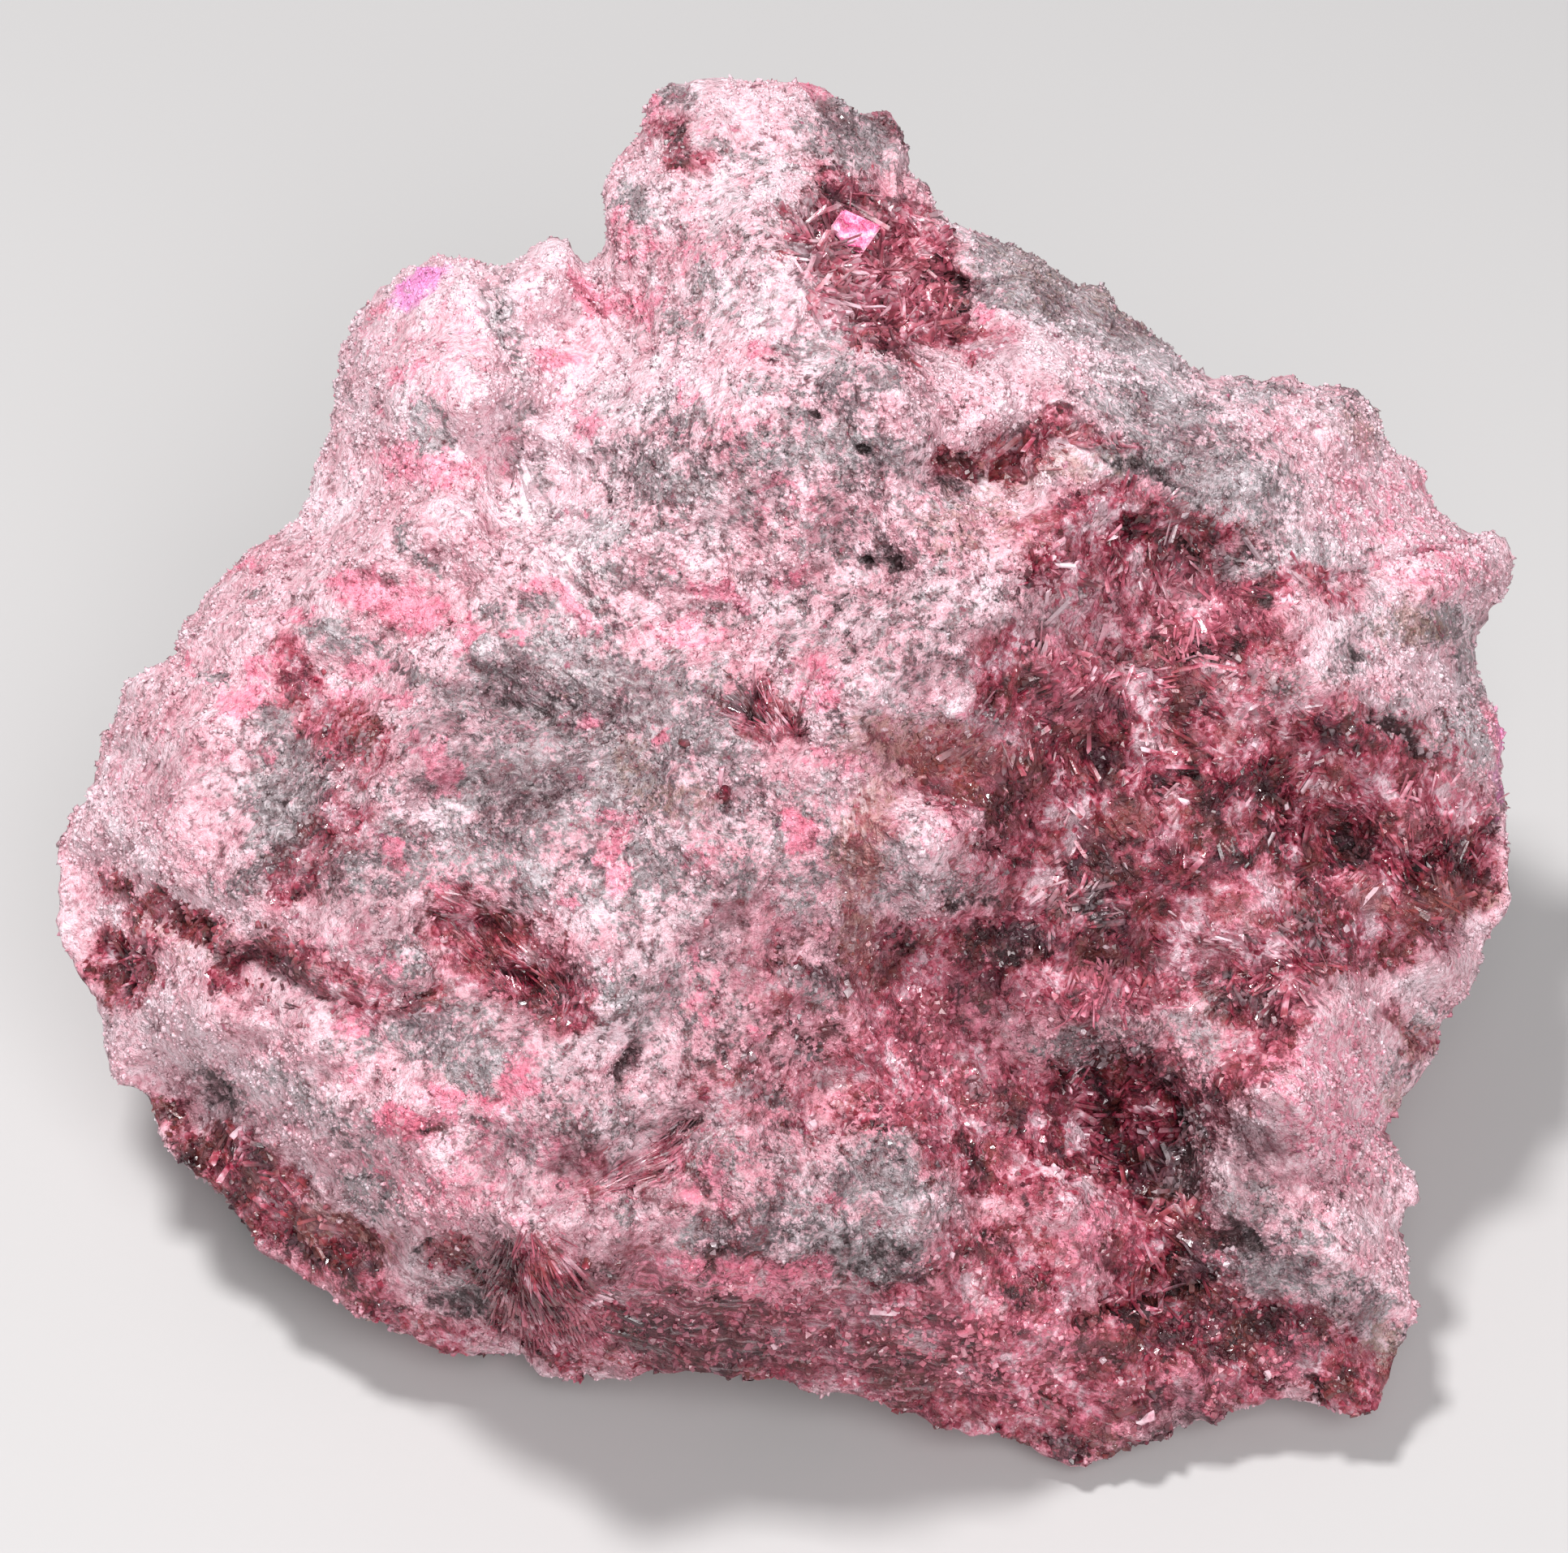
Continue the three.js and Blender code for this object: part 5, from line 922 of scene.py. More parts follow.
def crystalMaterial():
    made, tree = newMaterial("crimsonCrystal")
    look = crystalLook
    where = add(tree, "ShaderNodeTexCoord").outputs["Object"]
    shade = field(tree, "shade")
    level = times(tree, plus(tree, shade, -0.5), 0.14)         # each piece a little lighter or darker
    # painted shade: the crystals darken under the shade fields
    level = raised(tree, level, (("dark", -0.17), ("dusk", -0.22), ("rose", 0.10), ("white", 0.16)))
    # painted shade: each piece darker towards its foot, where it stands among the others
    level = plus(tree, level, mapped(tree, field(tree, "tip"), 0.0, 0.5, -0.10, 0.03))
    tone = add(tree, "ShaderNodeGroup", {
        "Vector": where, "Level": level, "Rust": times(tree, field(tree, "tan"), 0.5)},
        node_tree=rubyTone).outputs[0]
    tone = layer(tree, tone, look["pink"], times(tree, field(tree, "rose"), 0.5))
    bare = mapped(tree, field(tree, "crimson"), 0.3, 0.95, 0.7, 0.3)
    greyMask = patch(tree, where, field(tree, "grey"), 700, 2.4, 0.2)
    tone = layer(tree, tone, look["grey"], times(tree, greyMask, bare))
    glintPieces = mapped(tree, shade, 0.990, 0.996, 0.0, 0.6)          # fewer than one piece in a hundred, painted pale as a glint
    tone = layer(tree, tone, look["pale"], glintPieces)
    gloss = mapped(tree, cloud(tree, where, 1900, 1, 0.5), 0.4, 0.6, 0.10, 0.42)
    lines = cloud(tree, where, 5200, 1, 0.5)
    bump = add(tree, "ShaderNodeBump", {"Height": lines, "Distance": 0.00006, "Strength": 0.5})
    principled(tree, {"Base Color": tone, "Roughness": gloss, "Normal": bump.outputs[0], "IOR": 1.65})
    return made


paleStone, crimsonCrystal = matrixMaterial(), crystalMaterial()
stone.data.materials.append(paleStone)
finishPiece(stone, "stone", "stone")
print("stone finished")

# Shapes that are strewn many times: 1 long or across, standing on their foot
strewn = {
    "blade": {"ring": [(0.5, 0.06), (-0.1, 0.17), (-0.5, -0.04), (0.1, -0.17)], "shoulder": 0.93, "tall": 1.0,
              "tip": [(0.36, 0.02), (-0.3, -0.02)]},
    "splinter": {"ring": [(0.4, 0.05), (-0.25, 0.25), (-0.3, -0.25)], "shoulder": 0.62, "tall": 0.75,
                 "tip": [(0.15, 0.06)]},
    "prism": {"ring": [(0.7, 0.15), (0.05, 0.5), (-0.7, -0.05), (-0.05, -0.5)], "shoulder": 0.3, "tall": 0.42,
              "tip": [(0.32, 0.12), (-0.15, -0.2)]},
    "chunk": {"ring": [(0.9, 0.1), (0.2, 0.8), (-0.8, 0.3), (-0.4, -0.75)], "shoulder": 0.2, "tall": 0.34,
              "tip": [(0.5, 0.1), (-0.2, 0.3)]},
}


def strewnShape(name, ring, shoulder, tall, tip):
    foot = [(x * 0.8, y * 0.8, -0.08) for x, y in ring]
    top = [(x, y, shoulder) for x, y in ring]
    ends = [(x, y, tall * (1.0 - 0.08 * i)) for i, (x, y) in enumerate(tip)]
    count = len(ring)
    work = bmesh.new()
    points = [work.verts.new(p) for p in foot + top + ends]
    for i in range(count):
        after = (i + 1) % count
        work.faces.new([points[k] for k in (i, after, after + count, i + count)])
    work.faces.new([points[i] for i in reversed(range(count))])
    bmesh.ops.convex_hull(work, input=points[count:])
    inner = [f for f in work.faces if all(v in points[count:2 * count] for v in f.verts)]
    bmesh.ops.delete(work, geom=inner, context="FACES_ONLY")
    bmesh.ops.recalc_face_normals(work, faces=work.faces)
    mesh = meshFrom(work, name)
    store(mesh, "tip", np.clip(coordinates(mesh)[:, 2], 0, 1))
    return bpy.data.objects.new(name, mesh)


def grainShape(name, stretch, seed, soft=False):       # an eight-sided crumb with its corners pushed about
    work = bmesh.new()
    corners = [(1, 0, 0), (-1, 0, 0), (0, 1, 0), (0, -1, 0), (0, 0, 1), (0, 0, -1)]
    points = []
    for i, corner in enumerate(corners):
        push = noise.cell_vector(Vector((i + seed * 11.3, seed * 1.7, 0))) * 0.34
        points.append(work.verts.new([c * s * 0.5 + p * 0.3 for c, s, p in zip(corner, stretch, push)]))
    bmesh.ops.convex_hull(work, input=points)
    for face in work.faces:
        face.smooth = soft
    return bpy.data.objects.new(name, meshFrom(work, name))


def shapeSet(name, named, grains):         # a collection of shapes that a tree picks from
    made = bpy.data.collections.new(name)
    for member in [strewnShape(word, **strewn[word]) for word in named] + [grainShape(*g) for g in grains]:
        made.objects.link(member)
    return made


bladeSet = shapeSet("bladeShapes", ("blade", "splinter"), ())
crustSet = shapeSet("crustShapes", strewn, (
    ("rubyCrumb", (2.0, 1.7, 0.5), 4), ("rubyFlake", (2.4, 1.3, 0.4), 5), ("rubyBit", (1.4, 1.2, 0.6), 6)))
crumbSet = shapeSet("crumbShapes", ("prism", "chunk"), (
    ("redCrumb", (2.0, 1.7, 0.5), 7), ("redBit", (1.4, 1.2, 0.6), 8)))
grainSet = shapeSet("grainShapes", (), (
    ("crumb", (1, 1, 0.9), 1, True), ("flatCrumb", (1.2, 0.9, 0.6), 2, True),
    ("longCrumb", (0.8, 0.7, 1.3), 3, True)))


def chance(tree, kind, seed=0, low=None, high=None):   # a random value for each point
    made = add(tree, "FunctionNodeRandomValue", {"Seed": seed}, data_type=kind)
    sort = {"FLOAT": "VALUE", "INT": "INT", "FLOAT_VECTOR": "VECTOR"}[kind]
    for socket in made.inputs:
        end = {"Min": low, "Max": high}.get(socket.name)
        if socket.type != sort or end is None:
            continue
        if isinstance(end, bpy.types.NodeSocket):
            tree.links.new(end, socket)
        else:
            socket.default_value = end
    return made.outputs[{"FLOAT": 1, "INT": 2, "FLOAT_VECTOR": 0}[kind]]


def strewTree():                           # strews a set of shapes over a bed, along the bed's own flow
    tree, given, out = newGroup("strewCrystals", "GeometryNodeTree", (
        ("Geometry", "Geometry"), ("Shapes", "Collection"), ("Density", "Float"), ("Length", "Float"),
        ("Shortest", "Float"), ("Width", "Float"), ("Rise", "Float"), ("Disorder", "Float"),
        ("Sink", "Float"), ("Keep Bed", "Bool"), ("Seed", "Int"), ("Material", "Material")),
        (("Geometry", "Geometry"),))
    lush = add(tree, "GeometryNodeInputNamedAttribute", {"Name": "lush"}, data_type="FLOAT")
    dots = add(tree, "GeometryNodeDistributePointsOnFaces", {
        "Mesh": given["Geometry"], "Density": times(tree, given["Density"], lush.outputs[0]),
        "Seed": given["Seed"]})
    flow = add(tree, "GeometryNodeInputNamedAttribute", {"Name": "flow"}, data_type="FLOAT_VECTOR")
    stray = chance(tree, "FLOAT_VECTOR", given["Seed"], (-1, -1, -1), (1, 1, 1))
    aim = shifted(tree, flow.outputs[0], scaled(tree, dots.outputs["Normal"], given["Rise"]))
    aim = shifted(tree, aim, scaled(tree, stray, given["Disorder"]))
    turned = add(tree, "FunctionNodeAlignRotationToVector", {"Vector": aim}, axis="Z")
    spin = add(tree, "ShaderNodeCombineXYZ", {"Z": chance(tree, "FLOAT", high=6.283)})
    twist = add(tree, "FunctionNodeRotateRotation", {
        "Rotation": turned.outputs[0], "Rotate By": spin.outputs[0]}, rotation_space="LOCAL")
    size = chance(tree, "FLOAT", 7, low=given["Shortest"])
    skewed = add(tree, "ShaderNodeMath", {0: size, 1: 2.4}, operation="POWER").outputs[0]
    fuller = plus(tree, times(tree, skewed, 0.75), 0.45)       # a longer crystal is a wider one too
    wide = times(tree, times(tree, chance(tree, "FLOAT", 19, low=0.45), fuller), given["Width"])
    long = times(tree, skewed, given["Length"])
    scale = add(tree, "ShaderNodeCombineXYZ", {"X": wide, "Y": wide, "Z": long})
    shapes = add(tree, "GeometryNodeCollectionInfo", {
        "Collection": given["Shapes"], "Separate Children": True, "Reset Children": True})
    inward = scaled(tree, dots.outputs["Normal"], times(tree, given["Sink"], -1.0))
    rooted = add(tree, "GeometryNodeSetPosition", {"Geometry": dots.outputs["Points"], "Offset": inward})
    placed = add(tree, "GeometryNodeInstanceOnPoints", {
        "Points": rooted.outputs[0], "Instance": shapes.outputs[0], "Pick Instance": True,
        "Instance Index": chance(tree, "INT", 31, high=8399), "Rotation": twist.outputs[0],
        "Scale": scale.outputs[0]})
    shaded = add(tree, "GeometryNodeStoreNamedAttribute", {
        "Geometry": placed.outputs[0], "Name": "shade", "Value": chance(tree, "FLOAT", 43)},
        data_type="FLOAT", domain="INSTANCE")
    solid = add(tree, "GeometryNodeRealizeInstances", {"Geometry": shaded.outputs[0]})
    coloured = add(tree, "GeometryNodeSetMaterial", {
        "Geometry": solid.outputs[0], "Material": given["Material"]})
    bed = add(tree, "GeometryNodeSwitch", {
        "Switch": given["Keep Bed"], "True": given["Geometry"]}, input_type="GEOMETRY")
    joined = tree.nodes.new("GeometryNodeJoinGeometry")
    for part in (coloured, bed):
        tree.links.new(part.outputs[0], joined.inputs[0])
    tree.links.new(joined.outputs[0], out["Geometry"])
    return tree


strew = strewTree()


def grow(piece, heap, values):             # runs the tree over a bed and keeps the result
    values = values | {
        "Length": heap["length"] * mm, "Width": heap["width"] * mm, "Sink": heap.get("sink", 0.0) * mm,
        "Rise": float(heap["rise"]), "Disorder": float(heap["disorder"]), "Seed": heap["seed"],
        "Density": heap["density"] / mm ** 2}
    modifier = piece.modifiers.new("crystals", "NODES")
    modifier.node_group = strew
    for item in strew.interface.items_tree:
        if item.in_out == "INPUT" and item.name in values:
            modifier[item.identifier] = values[item.name]
    mesh = evaluated(piece)
    piece.modifiers.clear()
    piece.data = mesh
    moveTo(mesh, coordinates(mesh))
    print("grown:", piece.name, sum(len(face.vertices) - 2 for face in mesh.polygons), "triangles")


# Crystal beds, each with the outline of its CAD crust in the photograph. Lengths are in mm, density to a mm2
beds = {
    "upper_pocket_crystals": {
        "region": [(1000, 215), (1062, 205), (1095, 245), (1150, 290), (1192, 362), (1222, 455),
                   (1160, 432), (1100, 438), (1045, 425), (1000, 380), (955, 345), (945, 300)],
        "density": 10, "length": 2.9, "width": 0.46, "rise": 0.4, "disorder": 0.45, "sink": 0.12,
        "seed": 1},
    "vug_crystals": {
        "region": [(1215, 525), (1260, 515), (1300, 530), (1375, 528), (1390, 550), (1330, 556),
                   (1290, 590), (1240, 600), (1212, 575)],
        "density": 10, "length": 2.3, "width": 0.42, "rise": 0.3, "disorder": 0.6, "sink": 0.1, "seed": 2},
    "right_field_crystals": {
        "region": [(1262, 668), (1330, 690), (1362, 612), (1450, 604), (1490, 655), (1540, 700),
                   (1640, 716), (1640, 762), (1562, 755), (1555, 845), (1648, 852), (1668, 930),
                   (1742, 962), (1826, 968), (1830, 1060), (1800, 1125), (1740, 1150), (1650, 1190),
                   (1590, 1240), (1510, 1290), (1400, 1280), (1290, 1230), (1240, 1130), (1272, 1040),
                   (1190, 930), (1262, 800)],
        "density": 13, "length": 2.4, "width": 0.40, "rise": 0.30, "disorder": 0.34, "sink": 0.10,
        "seed": 3},
    "deep_hollow_crystals": {
        "region": [(1300, 1318), (1380, 1308), (1450, 1330), (1478, 1400), (1470, 1480), (1492, 1560),
                   (1440, 1630), (1330, 1632), (1385, 1560), (1392, 1480), (1330, 1440), (1290, 1390)],
        "density": 10, "length": 2.8, "width": 0.54, "rise": 0.4, "disorder": 0.45, "sink": 0.14,
        "seed": 4},
    "centre_fan_crystals": {
        "region": [(890, 838), (950, 842), (1000, 880), (1004, 915), (950, 925), (905, 890)],
        "root": (975, 925), "density": 16, "length": 2.2, "width": 0.18, "rise": -0.06, "disorder": 0.16,
        "seed": 5},
    "left_pocket_crystals": {
        "region": [(530, 1105), (600, 1100), (655, 1150), (705, 1215), (700, 1262), (640, 1240),
                   (570, 1190)],
        "root": (690, 1275), "density": 13, "length": 2.0, "width": 0.26, "rise": 0.0, "disorder": 0.32,
        "seed": 6},
    "left_ledge_crystals": {
        "region": [(180, 1130), (262, 1122), (272, 1140), (200, 1165), (190, 1225), (120, 1222),
                   (112, 1168)],
        "density": 10, "length": 1.9, "width": 0.46, "rise": 0.35, "disorder": 0.5, "sink": 0.12,
        "seed": 7},
    "left_band_crystals": {
        "region": [(296, 1180), (400, 1205), (468, 1232), (552, 1212), (556, 1272), (460, 1288),
                   (380, 1262), (296, 1236)],
        "density": 5, "length": 1.9, "width": 0.3, "rise": 0.25, "disorder": 0.6, "sink": 0.1, "seed": 8},
    "left_flank_crystals": {
        "region": [(216, 1362), (270, 1368), (345, 1428), (410, 1510), (480, 1560), (450, 1585),
                   (365, 1528), (315, 1470), (248, 1415)],
        "density": 10, "length": 2.0, "width": 0.48, "rise": 0.35, "disorder": 0.5, "sink": 0.14,
        "seed": 9},
    "front_spray_crystals": {
        "region": [(650, 1488), (700, 1520), (742, 1590), (735, 1638), (660, 1648), (600, 1628),
                   (570, 1570)],
        "root": (655, 1478), "density": 10, "length": 3.4, "width": 0.3, "rise": 0.0, "disorder": 0.12,
        "seed": 10},
    "front_wedge_crystals": {
        "region": [(700, 1462), (780, 1405), (858, 1388), (850, 1425), (800, 1470), (740, 1490)],
        "root": (700, 1475), "density": 9, "length": 3.0, "width": 0.26, "rise": 0.0, "disorder": 0.12,
        "seed": 11},
    "bottom_edge_crystals": {
        "region": [(1360, 1735), (1412, 1700), (1448, 1715), (1430, 1748), (1385, 1768)],
        "density": 4, "length": 1.3, "width": 0.6, "rise": 0.5, "disorder": 0.5, "seed": 12},
}
bedSize = {
    "rim": 14,                             # photo pixels over which a bed rises out of the stone
    "lift": 0.00022,                       # how far it stands above the stone in its middle
    "sink": 0.00012,                       # how far its rim lies under the stone
    "clumps": (0.0028, 0.0007),            # size and height of the clumps that a bed swells into
    "creases": (0.0013, 0.0005),           # size and depth of the creases between its small clumps
    "sparse": 0.38,                        # how thick blades stand away from the sheaves
    "sheaf": 0.0024,                       # size of a sheaf of blades that lie the same way
    "island": 26,                          # photo pixels from the edge of a bare place to its middle
}
sheaves = {                                # where blades stand thick; a crust has few of them elsewhere
    "upper": (1500, 725, 80, 60, 20), "upperLeft": (1420, 640, 110, 40, 0), "left": (1320, 700, 50, 60, 60),
    "middle": (1600, 975, 60, 34, 20), "middleLeft": (1330, 900, 60, 50, 0),
    "right": (1770, 1040, 60, 40, 0), "low": (1300, 1130, 70, 50, 0), "foot": (1560, 1180, 60, 60, -40),
    "pocket": (1090, 330, 130, 130, 0), "hollow": (1400, 1400, 130, 200, 0), "vug": (1290, 550, 120, 60, 0),
    "notch": (200, 1160, 120, 90, 0), "flank": (330, 1470, 190, 160, 0), "centre": (1470, 880, 60, 40, 0),
}
islands = {                                # bare places inside the beds
    "upperIsland": (1330, 748, 30, 34, 10), "paleSlab": (1503, 892, 46, 26, 6),
    "knot": (1405, 782, 22, 20, 0), "island": (1240, 1030, 30, 26, 0), "pinkGrey": (1525, 1112, 50, 34, 10),
    "lowGrey": (1440, 1262, 60, 18, -4), "footGrey": (1490, 1215, 34, 30, -30),
    "greySliver": (1300, 672, 22, 8, -6),
}


def depthInside(px, py, region):           # photo pixels inside a region's outline, negative outside it
    nearest = np.full(len(px), 1e9)
    inside = np.zeros(len(px), bool)
    for (ax, ay), (bx, by) in zip(region, region[1:] + region[:1]):
        runX, runY = bx - ax, by - ay
        along = np.clip(((px - ax) * runX + (py - ay) * runY) / (runX ** 2 + runY ** 2), 0, 1)
        nearest = np.minimum(nearest, np.hypot(px - ax - along * runX, py - ay - along * runY))
        if runY:
            inside ^= ((ay > py) != (by > py)) & (px < runX * (py - ay) / runY + ax)
    return np.where(inside, nearest, -nearest)


stonePoints, stoneNormals = coordinates(stone.data), normalsOf(stone.data)
stoneFaces = [tuple(face.vertices) for face in stone.data.polygons]
stoneTree = BVHTree.FromPolygons([Vector(p) for p in stonePoints], stoneFaces)
covered = np.zeros(len(stonePoints))       # where a crystal bed already lies


def onStone(x, y):                         # the stone's point and normal behind a place in the photograph
    place, normal, _, _ = stoneTree.ray_cast(eye, towards(x, y))
    return place, normal


def sheafAt(point, seed):                  # the way a sheaf of blades lies, the same over a cell of the bed
    middle = noise.voronoi(point / bedSize["sheaf"] + Vector((seed * 3.7, 0, 0)))[1][0]
    return noise.cell_vector(middle * 9.1) * 2 - Vector((1, 1, 1)) + 0.3 * noise.noise_vector(point / mm)


def swelling(points, depth):               # clumps with creases between them, dying out towards the bed's rim
    clump, height = bedSize["clumps"]
    swell = np.array([max(noise.noise(Vector(p) / clump), 0) for p in points]) * height
    crease, height = bedSize["creases"]
    swell += np.array([abs(noise.noise(Vector(p) / crease)) - 0.25 for p in points]) * height * 1.6
    return swell * smooth(6, 40, depth)


def bedFlow(bed, points, normals):         # which way the blades lie: out from a root, or in sheaves
    if "root" in bed:
        flow = points - np.array(onStone(*bed["root"])[0])
    else:
        flow = np.array([sheafAt(Vector(p), bed["seed"]) for p in points])
    flow -= normals * (flow * normals).sum(1)[:, None]
    return flow / np.maximum(np.linalg.norm(flow, axis=1), 1e-9)[:, None]


def bedOf(name, bed):                      # a sheet of the stone's own surface, a little proud of it
    depth = depthInside(stoneX, stoneY, bed["region"])
    for island in islands.values():
        depth = np.minimum(depth, bedSize["island"] * (across(stoneX, stoneY, island) - 1))
    depth = np.where(stoneSeen > 0.3, depth, -1e3)
    kept = [face for face in stoneFaces if max(depth[i] for i in face) > -2]
    used = sorted({i for face in kept for i in face})
    place = {old: new for new, old in enumerate(used)}
    rise = smooth(-4, bedSize["rim"], depth[used])
    covered[used] = np.maximum(covered[used], rise)
    lift = rise * (bedSize["lift"] + bedSize["sink"]) - bedSize["sink"]
    lift += swelling(stonePoints[used], depth[used])
    points = stonePoints[used] + stoneNormals[used] * lift[:, None]
    mesh = bpy.data.meshes.new(name)
    mesh.from_pydata(points.tolist(), [], [[place[i] for i in face] for face in kept])
    mesh.polygons.foreach_set("use_smooth", np.ones(len(mesh.polygons), bool))
    store(mesh, "flow", bedFlow(bed, points, stoneNormals[used]), "FLOAT_VECTOR")
    thick = np.full(len(used), bedSize["sparse"])
    for sheaf in sheaves.values():
        thick = np.maximum(thick, smooth(1.4, 0.7, across(stoneX[used], stoneY[used], sheaf)))
    store(mesh, "lush", smooth(0, bedSize["rim"], depth[used]) * (1 if "root" in bed else thick))
    for carried in list(fields) + ["rough"]:
        store(mesh, carried, stored(stone.data, carried)[used])
    store(mesh, "combed", combed(points, stoneX[used], stoneY[used]), "FLOAT_VECTOR")
    mesh.materials.append(paleStone)
    return makeObject(name, mesh)


for nodeName, bed in beds.items():
    first, *others = nodeName.split("_")
    crust = bedOf(first + "".join(word.capitalize() for word in others), bed)
    grow(crust, bed, {
        "Shapes": bladeSet if "root" in bed else crustSet, "Shortest": 0.45, "Keep Bed": True,
        "Material": crimsonCrystal})
    finishPiece(crust, "crimson_crystal", nodeName)

# Loose cover of the stone outside the beds: pieces to a square mm, their length and width in mm
cover = {
    "paleSugar": {"density": 3.2, "length": 0.66, "width": 0.70, "rise": 0.2, "disorder": 1.0, "seed": 21},
    "fineSugar": {"density": 3.5, "length": 0.42, "width": 0.44, "rise": 0.2, "disorder": 1.0, "seed": 22},
    "crimsonCrumbs": {"density": 8.8, "length": 1.3, "width": 0.44, "rise": 0.4, "disorder": 0.8,
                      "sink": 0.08, "seed": 23},
}


def coverBed(name, heap):                  # the stone's surface, with how thickly this cover lies on it
    mesh = stone.data.copy()
    crystals, strands, pale = (stored(mesh, field) for field in ("crimson", "fibrous", "white"))
    even = wander(stonePoints, 0.003, 91)  # the cover lies in drifts
    if name == "crimsonCrumbs":
        lush = smooth(0.35, 0.75, crystals + 0.8 * (even - 0.5)) * (1 - 0.75 * strands) * (1 - 0.8 * pale)
    else:
        lush = smooth(0.3, 0.6, even) * (1 - smooth(0.2, 0.7, crystals))
    lush = lush * (1 - covered) * (0.25 + 0.75 * stoneSeen)    # a quarter as much on the other sides
    store(mesh, "lush", lush)
    flow = np.array([sheafAt(Vector(p), heap["seed"]) for p in stonePoints])
    store(mesh, "flow", flow, "FLOAT_VECTOR")
    return makeObject(name, mesh)


for name, heap in cover.items():
    piece = coverBed(name, heap)
    crystals = name == "crimsonCrumbs"
    grow(piece, heap, {
        "Shapes": crumbSet if crystals else grainSet, "Shortest": 0.5, "Keep Bed": False,
        "Material": crimsonCrystal if crystals else paleStone})
    finishPiece(piece, "crimson_crystal" if crystals else "stone")

# Single crystals: photo x and y, then length, width and thickness in mm, and turn in the photograph
singles = {
    "paleSlivers": {
        "bar": (888, 957, 1.5, 0.36, 0.4, 94), "glint": (1450, 985, 1.9, 0.5, 0.4, 14),
        "sliver": (1300, 672, 1.9, 0.5, 0.4, -6), "tooth": (1130, 390, 1.0, 0.8, 0.8, 30),
        "pocketGlint": (1033, 342, 1.4, 0.3, 0.3, 70), "slab": (1092, 1616, 2.3, 0.6, 0.3, 22),
        "edge": (1405, 1752, 2.4, 0.7, 0.5, -34), "fieldBar": (1583, 985, 1.5, 0.4, 0.4, 50),
        "hollowLens": (1385, 1424, 3.2, 0.7, 0.6, -12),
    },
    "rubyBeads": {
        "drop": (891, 979, 1.3, 0.9, 0.7, -34), "eye": (845, 916, 0.9, 0.6, 0.6, 10),
        "pocketRed": (1010, 262, 1.5, 0.6, 0.6, 60), "edgeRed": (1392, 1735, 2.2, 0.8, 0.6, -30),
        "bladeA": (748, 1606, 2.8, 0.5, 0.4, 40), "bladeB": (772, 1622, 2.6, 0.5, 0.4, 28),
        "bladeC": (760, 1640, 2.2, 0.4, 0.4, 16), "hollowRed": (1440, 1390, 1.8, 0.6, 0.6, 70),
        "fieldRed": (1350, 1020, 1.6, 0.5, 0.5, 20), "fieldRedB": (1530, 775, 2.2, 0.5, 0.4, 24),
    },
}
crossSection = ((-0.5, 0.1, 0.06), (-0.22, 0.6, 0.14), (0.3, 0.5, 0.1), (0.5, 0, 0), (0, -0.5, 0.05))


def singleCrystal(work, index, x, y, length, width, thick, turn):
    place, normal = onStone(x, y)
    angle = math.radians(turn)
    along = Vector((math.cos(angle), 0, 0)) - math.sin(angle) * upward
    along = (along - normal * along.dot(normal)).normalized()
    side = normal.cross(along)
    points = []
    for end in (-1, 1):
        for s, n, inset in crossSection:   # across, through, and how far each end falls short
            stray = 0.06 * noise.cell(Vector((index * 3.1, end * 7.7, s * 11.3)))
            reach = along * end * length * (0.5 - inset - stray)
            points.append(work.verts.new(place + mm * (reach + side * s * width + normal * n * thick)))
    bmesh.ops.convex_hull(work, input=points)


def singlesPiece(name, places, material, slot):
    work = bmesh.new()
    for index, place in enumerate(places.values()):
        singleCrystal(work, index, *place)
    bmesh.ops.bevel(work, geom=work.edges[:], offset=0.03 * mm, segments=1, affect="EDGES")
    bmesh.ops.recalc_face_normals(work, faces=work.faces)
    mesh = meshFrom(work, name)
    mesh.materials.append(material)
    finishPiece(makeObject(name, mesh), slot)


def sliverMaterial():                      # clear to milky, with a breath of pink
    made, tree = newMaterial("paleCrystal")
    where = add(tree, "ShaderNodeTexCoord").outputs["Object"]
    milk = cloud(tree, where, 900, 4, 0.6)
    tone = ramp(tree, milk, ((0.34, "#b0707f"), (0.46, "#d3a3b0"), (0.56, "#e6c6cf"), (0.68, "#f3e4e9")))
    gloss = mapped(tree, cloud(tree, where, 2400, 2, 0.5), 0.4, 0.6, 0.08, 0.35)
    principled(tree, {"Base Color": tone, "Roughness": gloss, "IOR": 1.6,
                      "Coat Weight": 0.4, "Coat Roughness": 0.05})
    return made


singlesPiece("paleSlivers", singles["paleSlivers"], sliverMaterial(), "pink_crystal")
singlesPiece("rubyBeads", singles["rubyBeads"], crimsonCrystal, "crimson_crystal")
print("single crystals set")


def rhombMaterial():                       # the bright pink crystal in the upper pocket
    made, tree = newMaterial("pinkCrystal")
    where = add(tree, "ShaderNodeTexCoord").outputs["Object"]
    mottle = cloud(tree, where, 1500, 3, 0.65)
    tone = ramp(tree, mottle, ((0.34, "#a82458"), (0.46, "#dc4b86"), (0.55, "#ee86b0"), (0.66, "#f8c9da")))
    bump = add(tree, "ShaderNodeBump", {"Height": mottle, "Distance": 0.0003, "Strength": 0.6})
    principled(tree, {"Base Color": tone, "Roughness": 0.3, "Normal": bump.outputs[0], "IOR": 1.6})
    return made


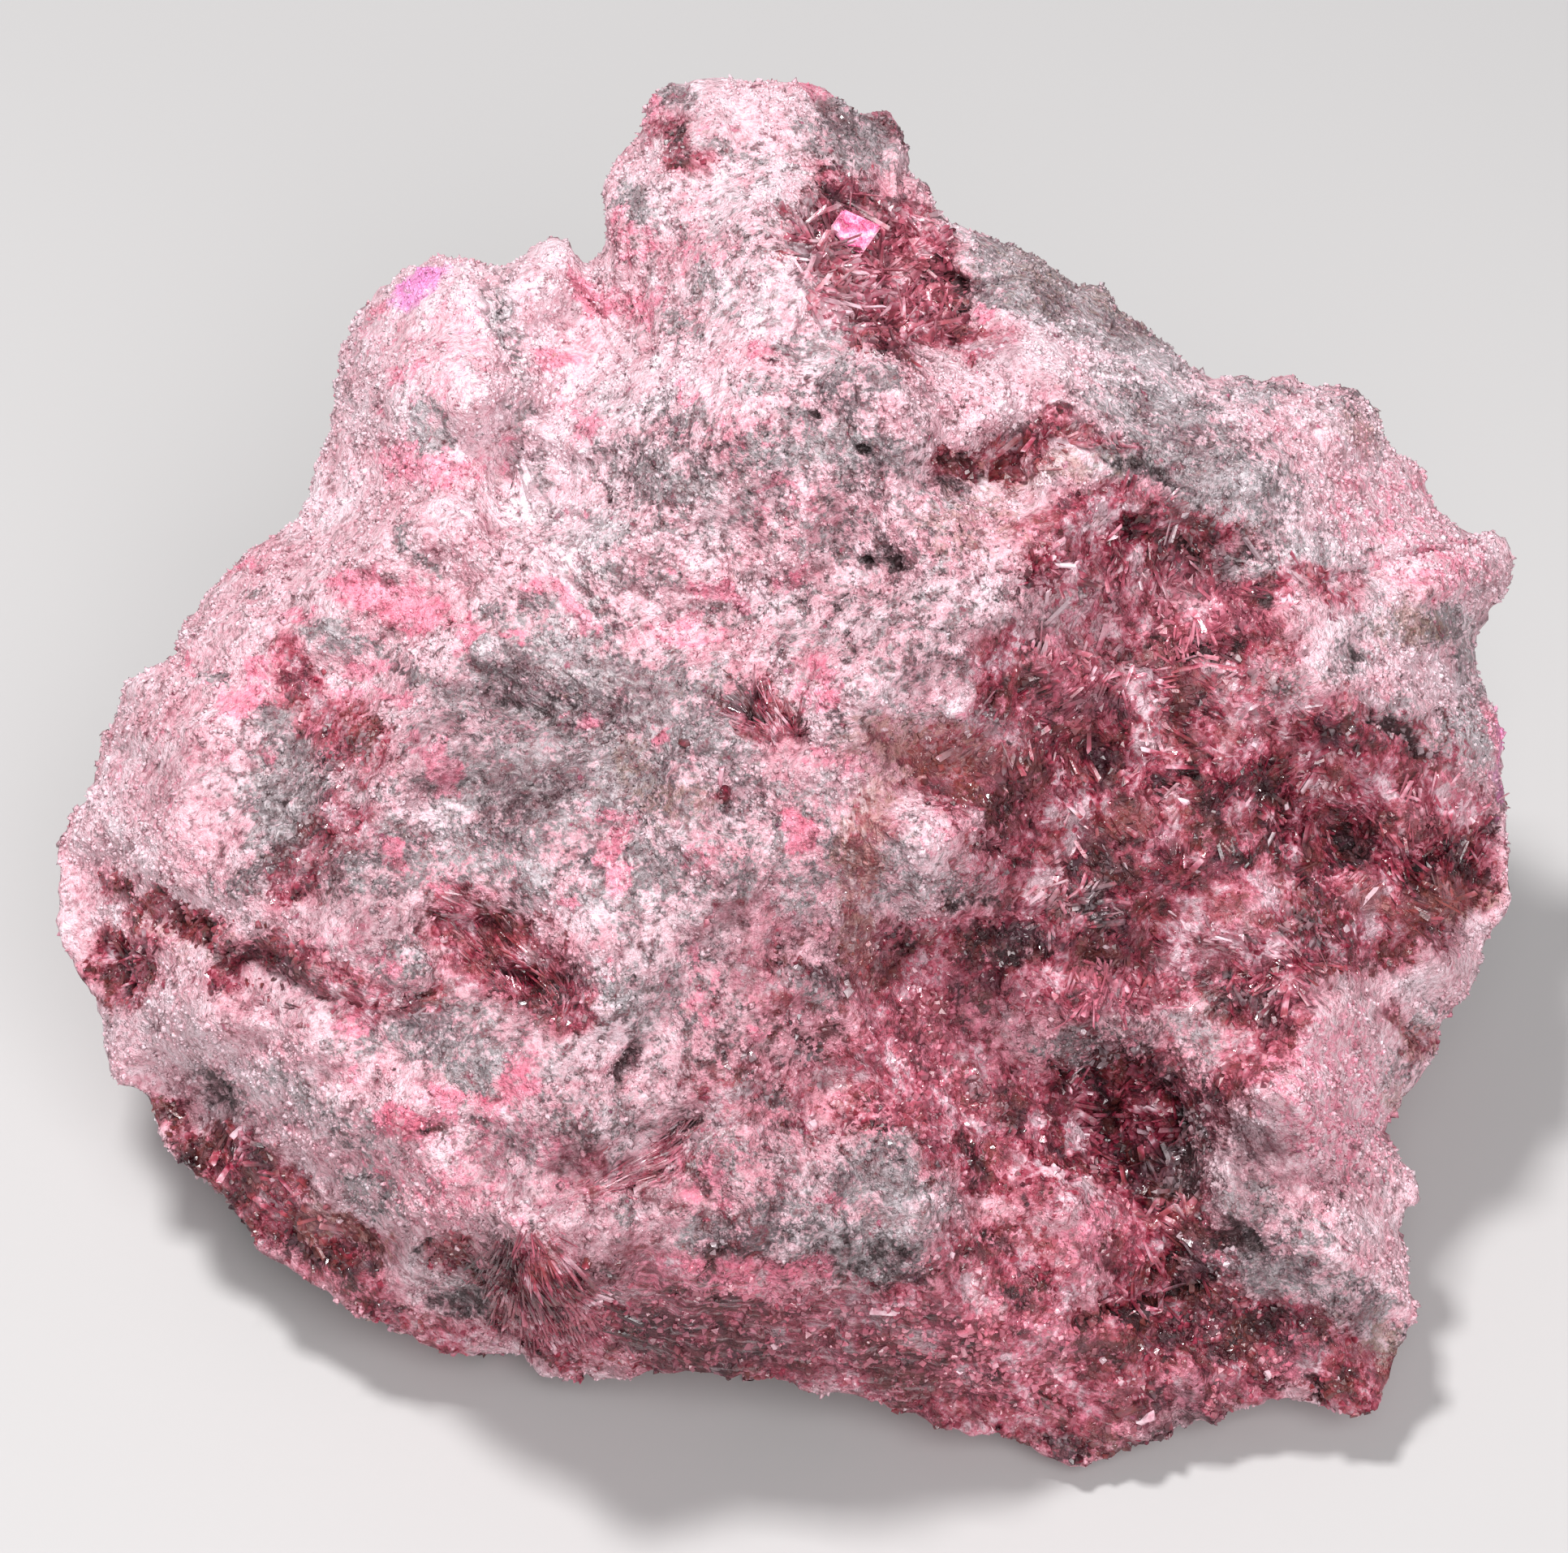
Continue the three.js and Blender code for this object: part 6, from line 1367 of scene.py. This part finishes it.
def rhombPiece():                          # the CAD crystal with worn edges
    work = mergedCopy("upper_pocket_rhomb")
    bmesh.ops.dissolve_limit(work, angle_limit=0.02, verts=work.verts, edges=work.edges)
    bmesh.ops.bevel(work, geom=work.edges[:], offset=0.12 * mm, segments=2, affect="EDGES")
    mesh = meshFrom(work, "pinkRhomb")
    mesh.materials.append(rhombMaterial())
    finishPiece(makeObject("pinkRhomb", mesh), "pink_crystal", "upper_pocket_rhomb")


rhombPiece()
print("pink rhomb set")

# Floor, light and camera
lamps = {
    "key": {"at": (-0.16, 0.03, 0.62), "size": 0.10, "power": 3.9, "tint": (1.0, 0.98, 0.985)},
    "fill": {"at": (0.12, -0.50, 0.48), "size": 0.45, "power": 4.5, "tint": (1.0, 0.98, 0.99)},
}
for name, lamp in lamps.items():
    data = bpy.data.lights.new(name, "AREA")
    data.size, data.energy, data.color = lamp["size"], lamp["power"], lamp["tint"]
    made = bpy.data.objects.new(name, data)
    made.location = lamp["at"]
    made.rotation_euler = (Vector((0, 0, 0.03)) - Vector(lamp["at"])).to_track_quat("-Z", "Y").to_euler()
    scene.collection.objects.link(made)

world = bpy.data.worlds.new("studio")
world.use_nodes = True
air = world.node_tree.nodes["Background"].inputs
air["Color"].default_value = (0.9, 0.92, 0.95, 1)
air["Strength"].default_value = 0.32
scene.world = world

floorMesh = bpy.data.meshes.new("floor")
floorMesh.from_pydata([(-3, -3, 0), (3, -3, 0), (3, 3, 0), (-3, 3, 0)], [], [(0, 1, 2, 3)])
floorLook, floorTree = newMaterial("paleFloor")
principled(floorTree, {"Base Color": (0.46, 0.455, 0.45, 1), "Roughness": 0.75})
floorMesh.materials.append(floorLook)
makeObject("floor", floorMesh)

cameraData = bpy.data.cameras.new("camera")
cameraData.sensor_width = 36
cameraData.lens = view["focal"] * cameraData.sensor_width / view["width"]
cameraData.clip_start = 0.01
camera = bpy.data.objects.new("camera", cameraData)
camera.location = eye
camera.rotation_euler = (math.pi / 2 - view["elevation"], 0, 0)
scene.collection.objects.link(camera)
scene.camera = camera
print("stage set")
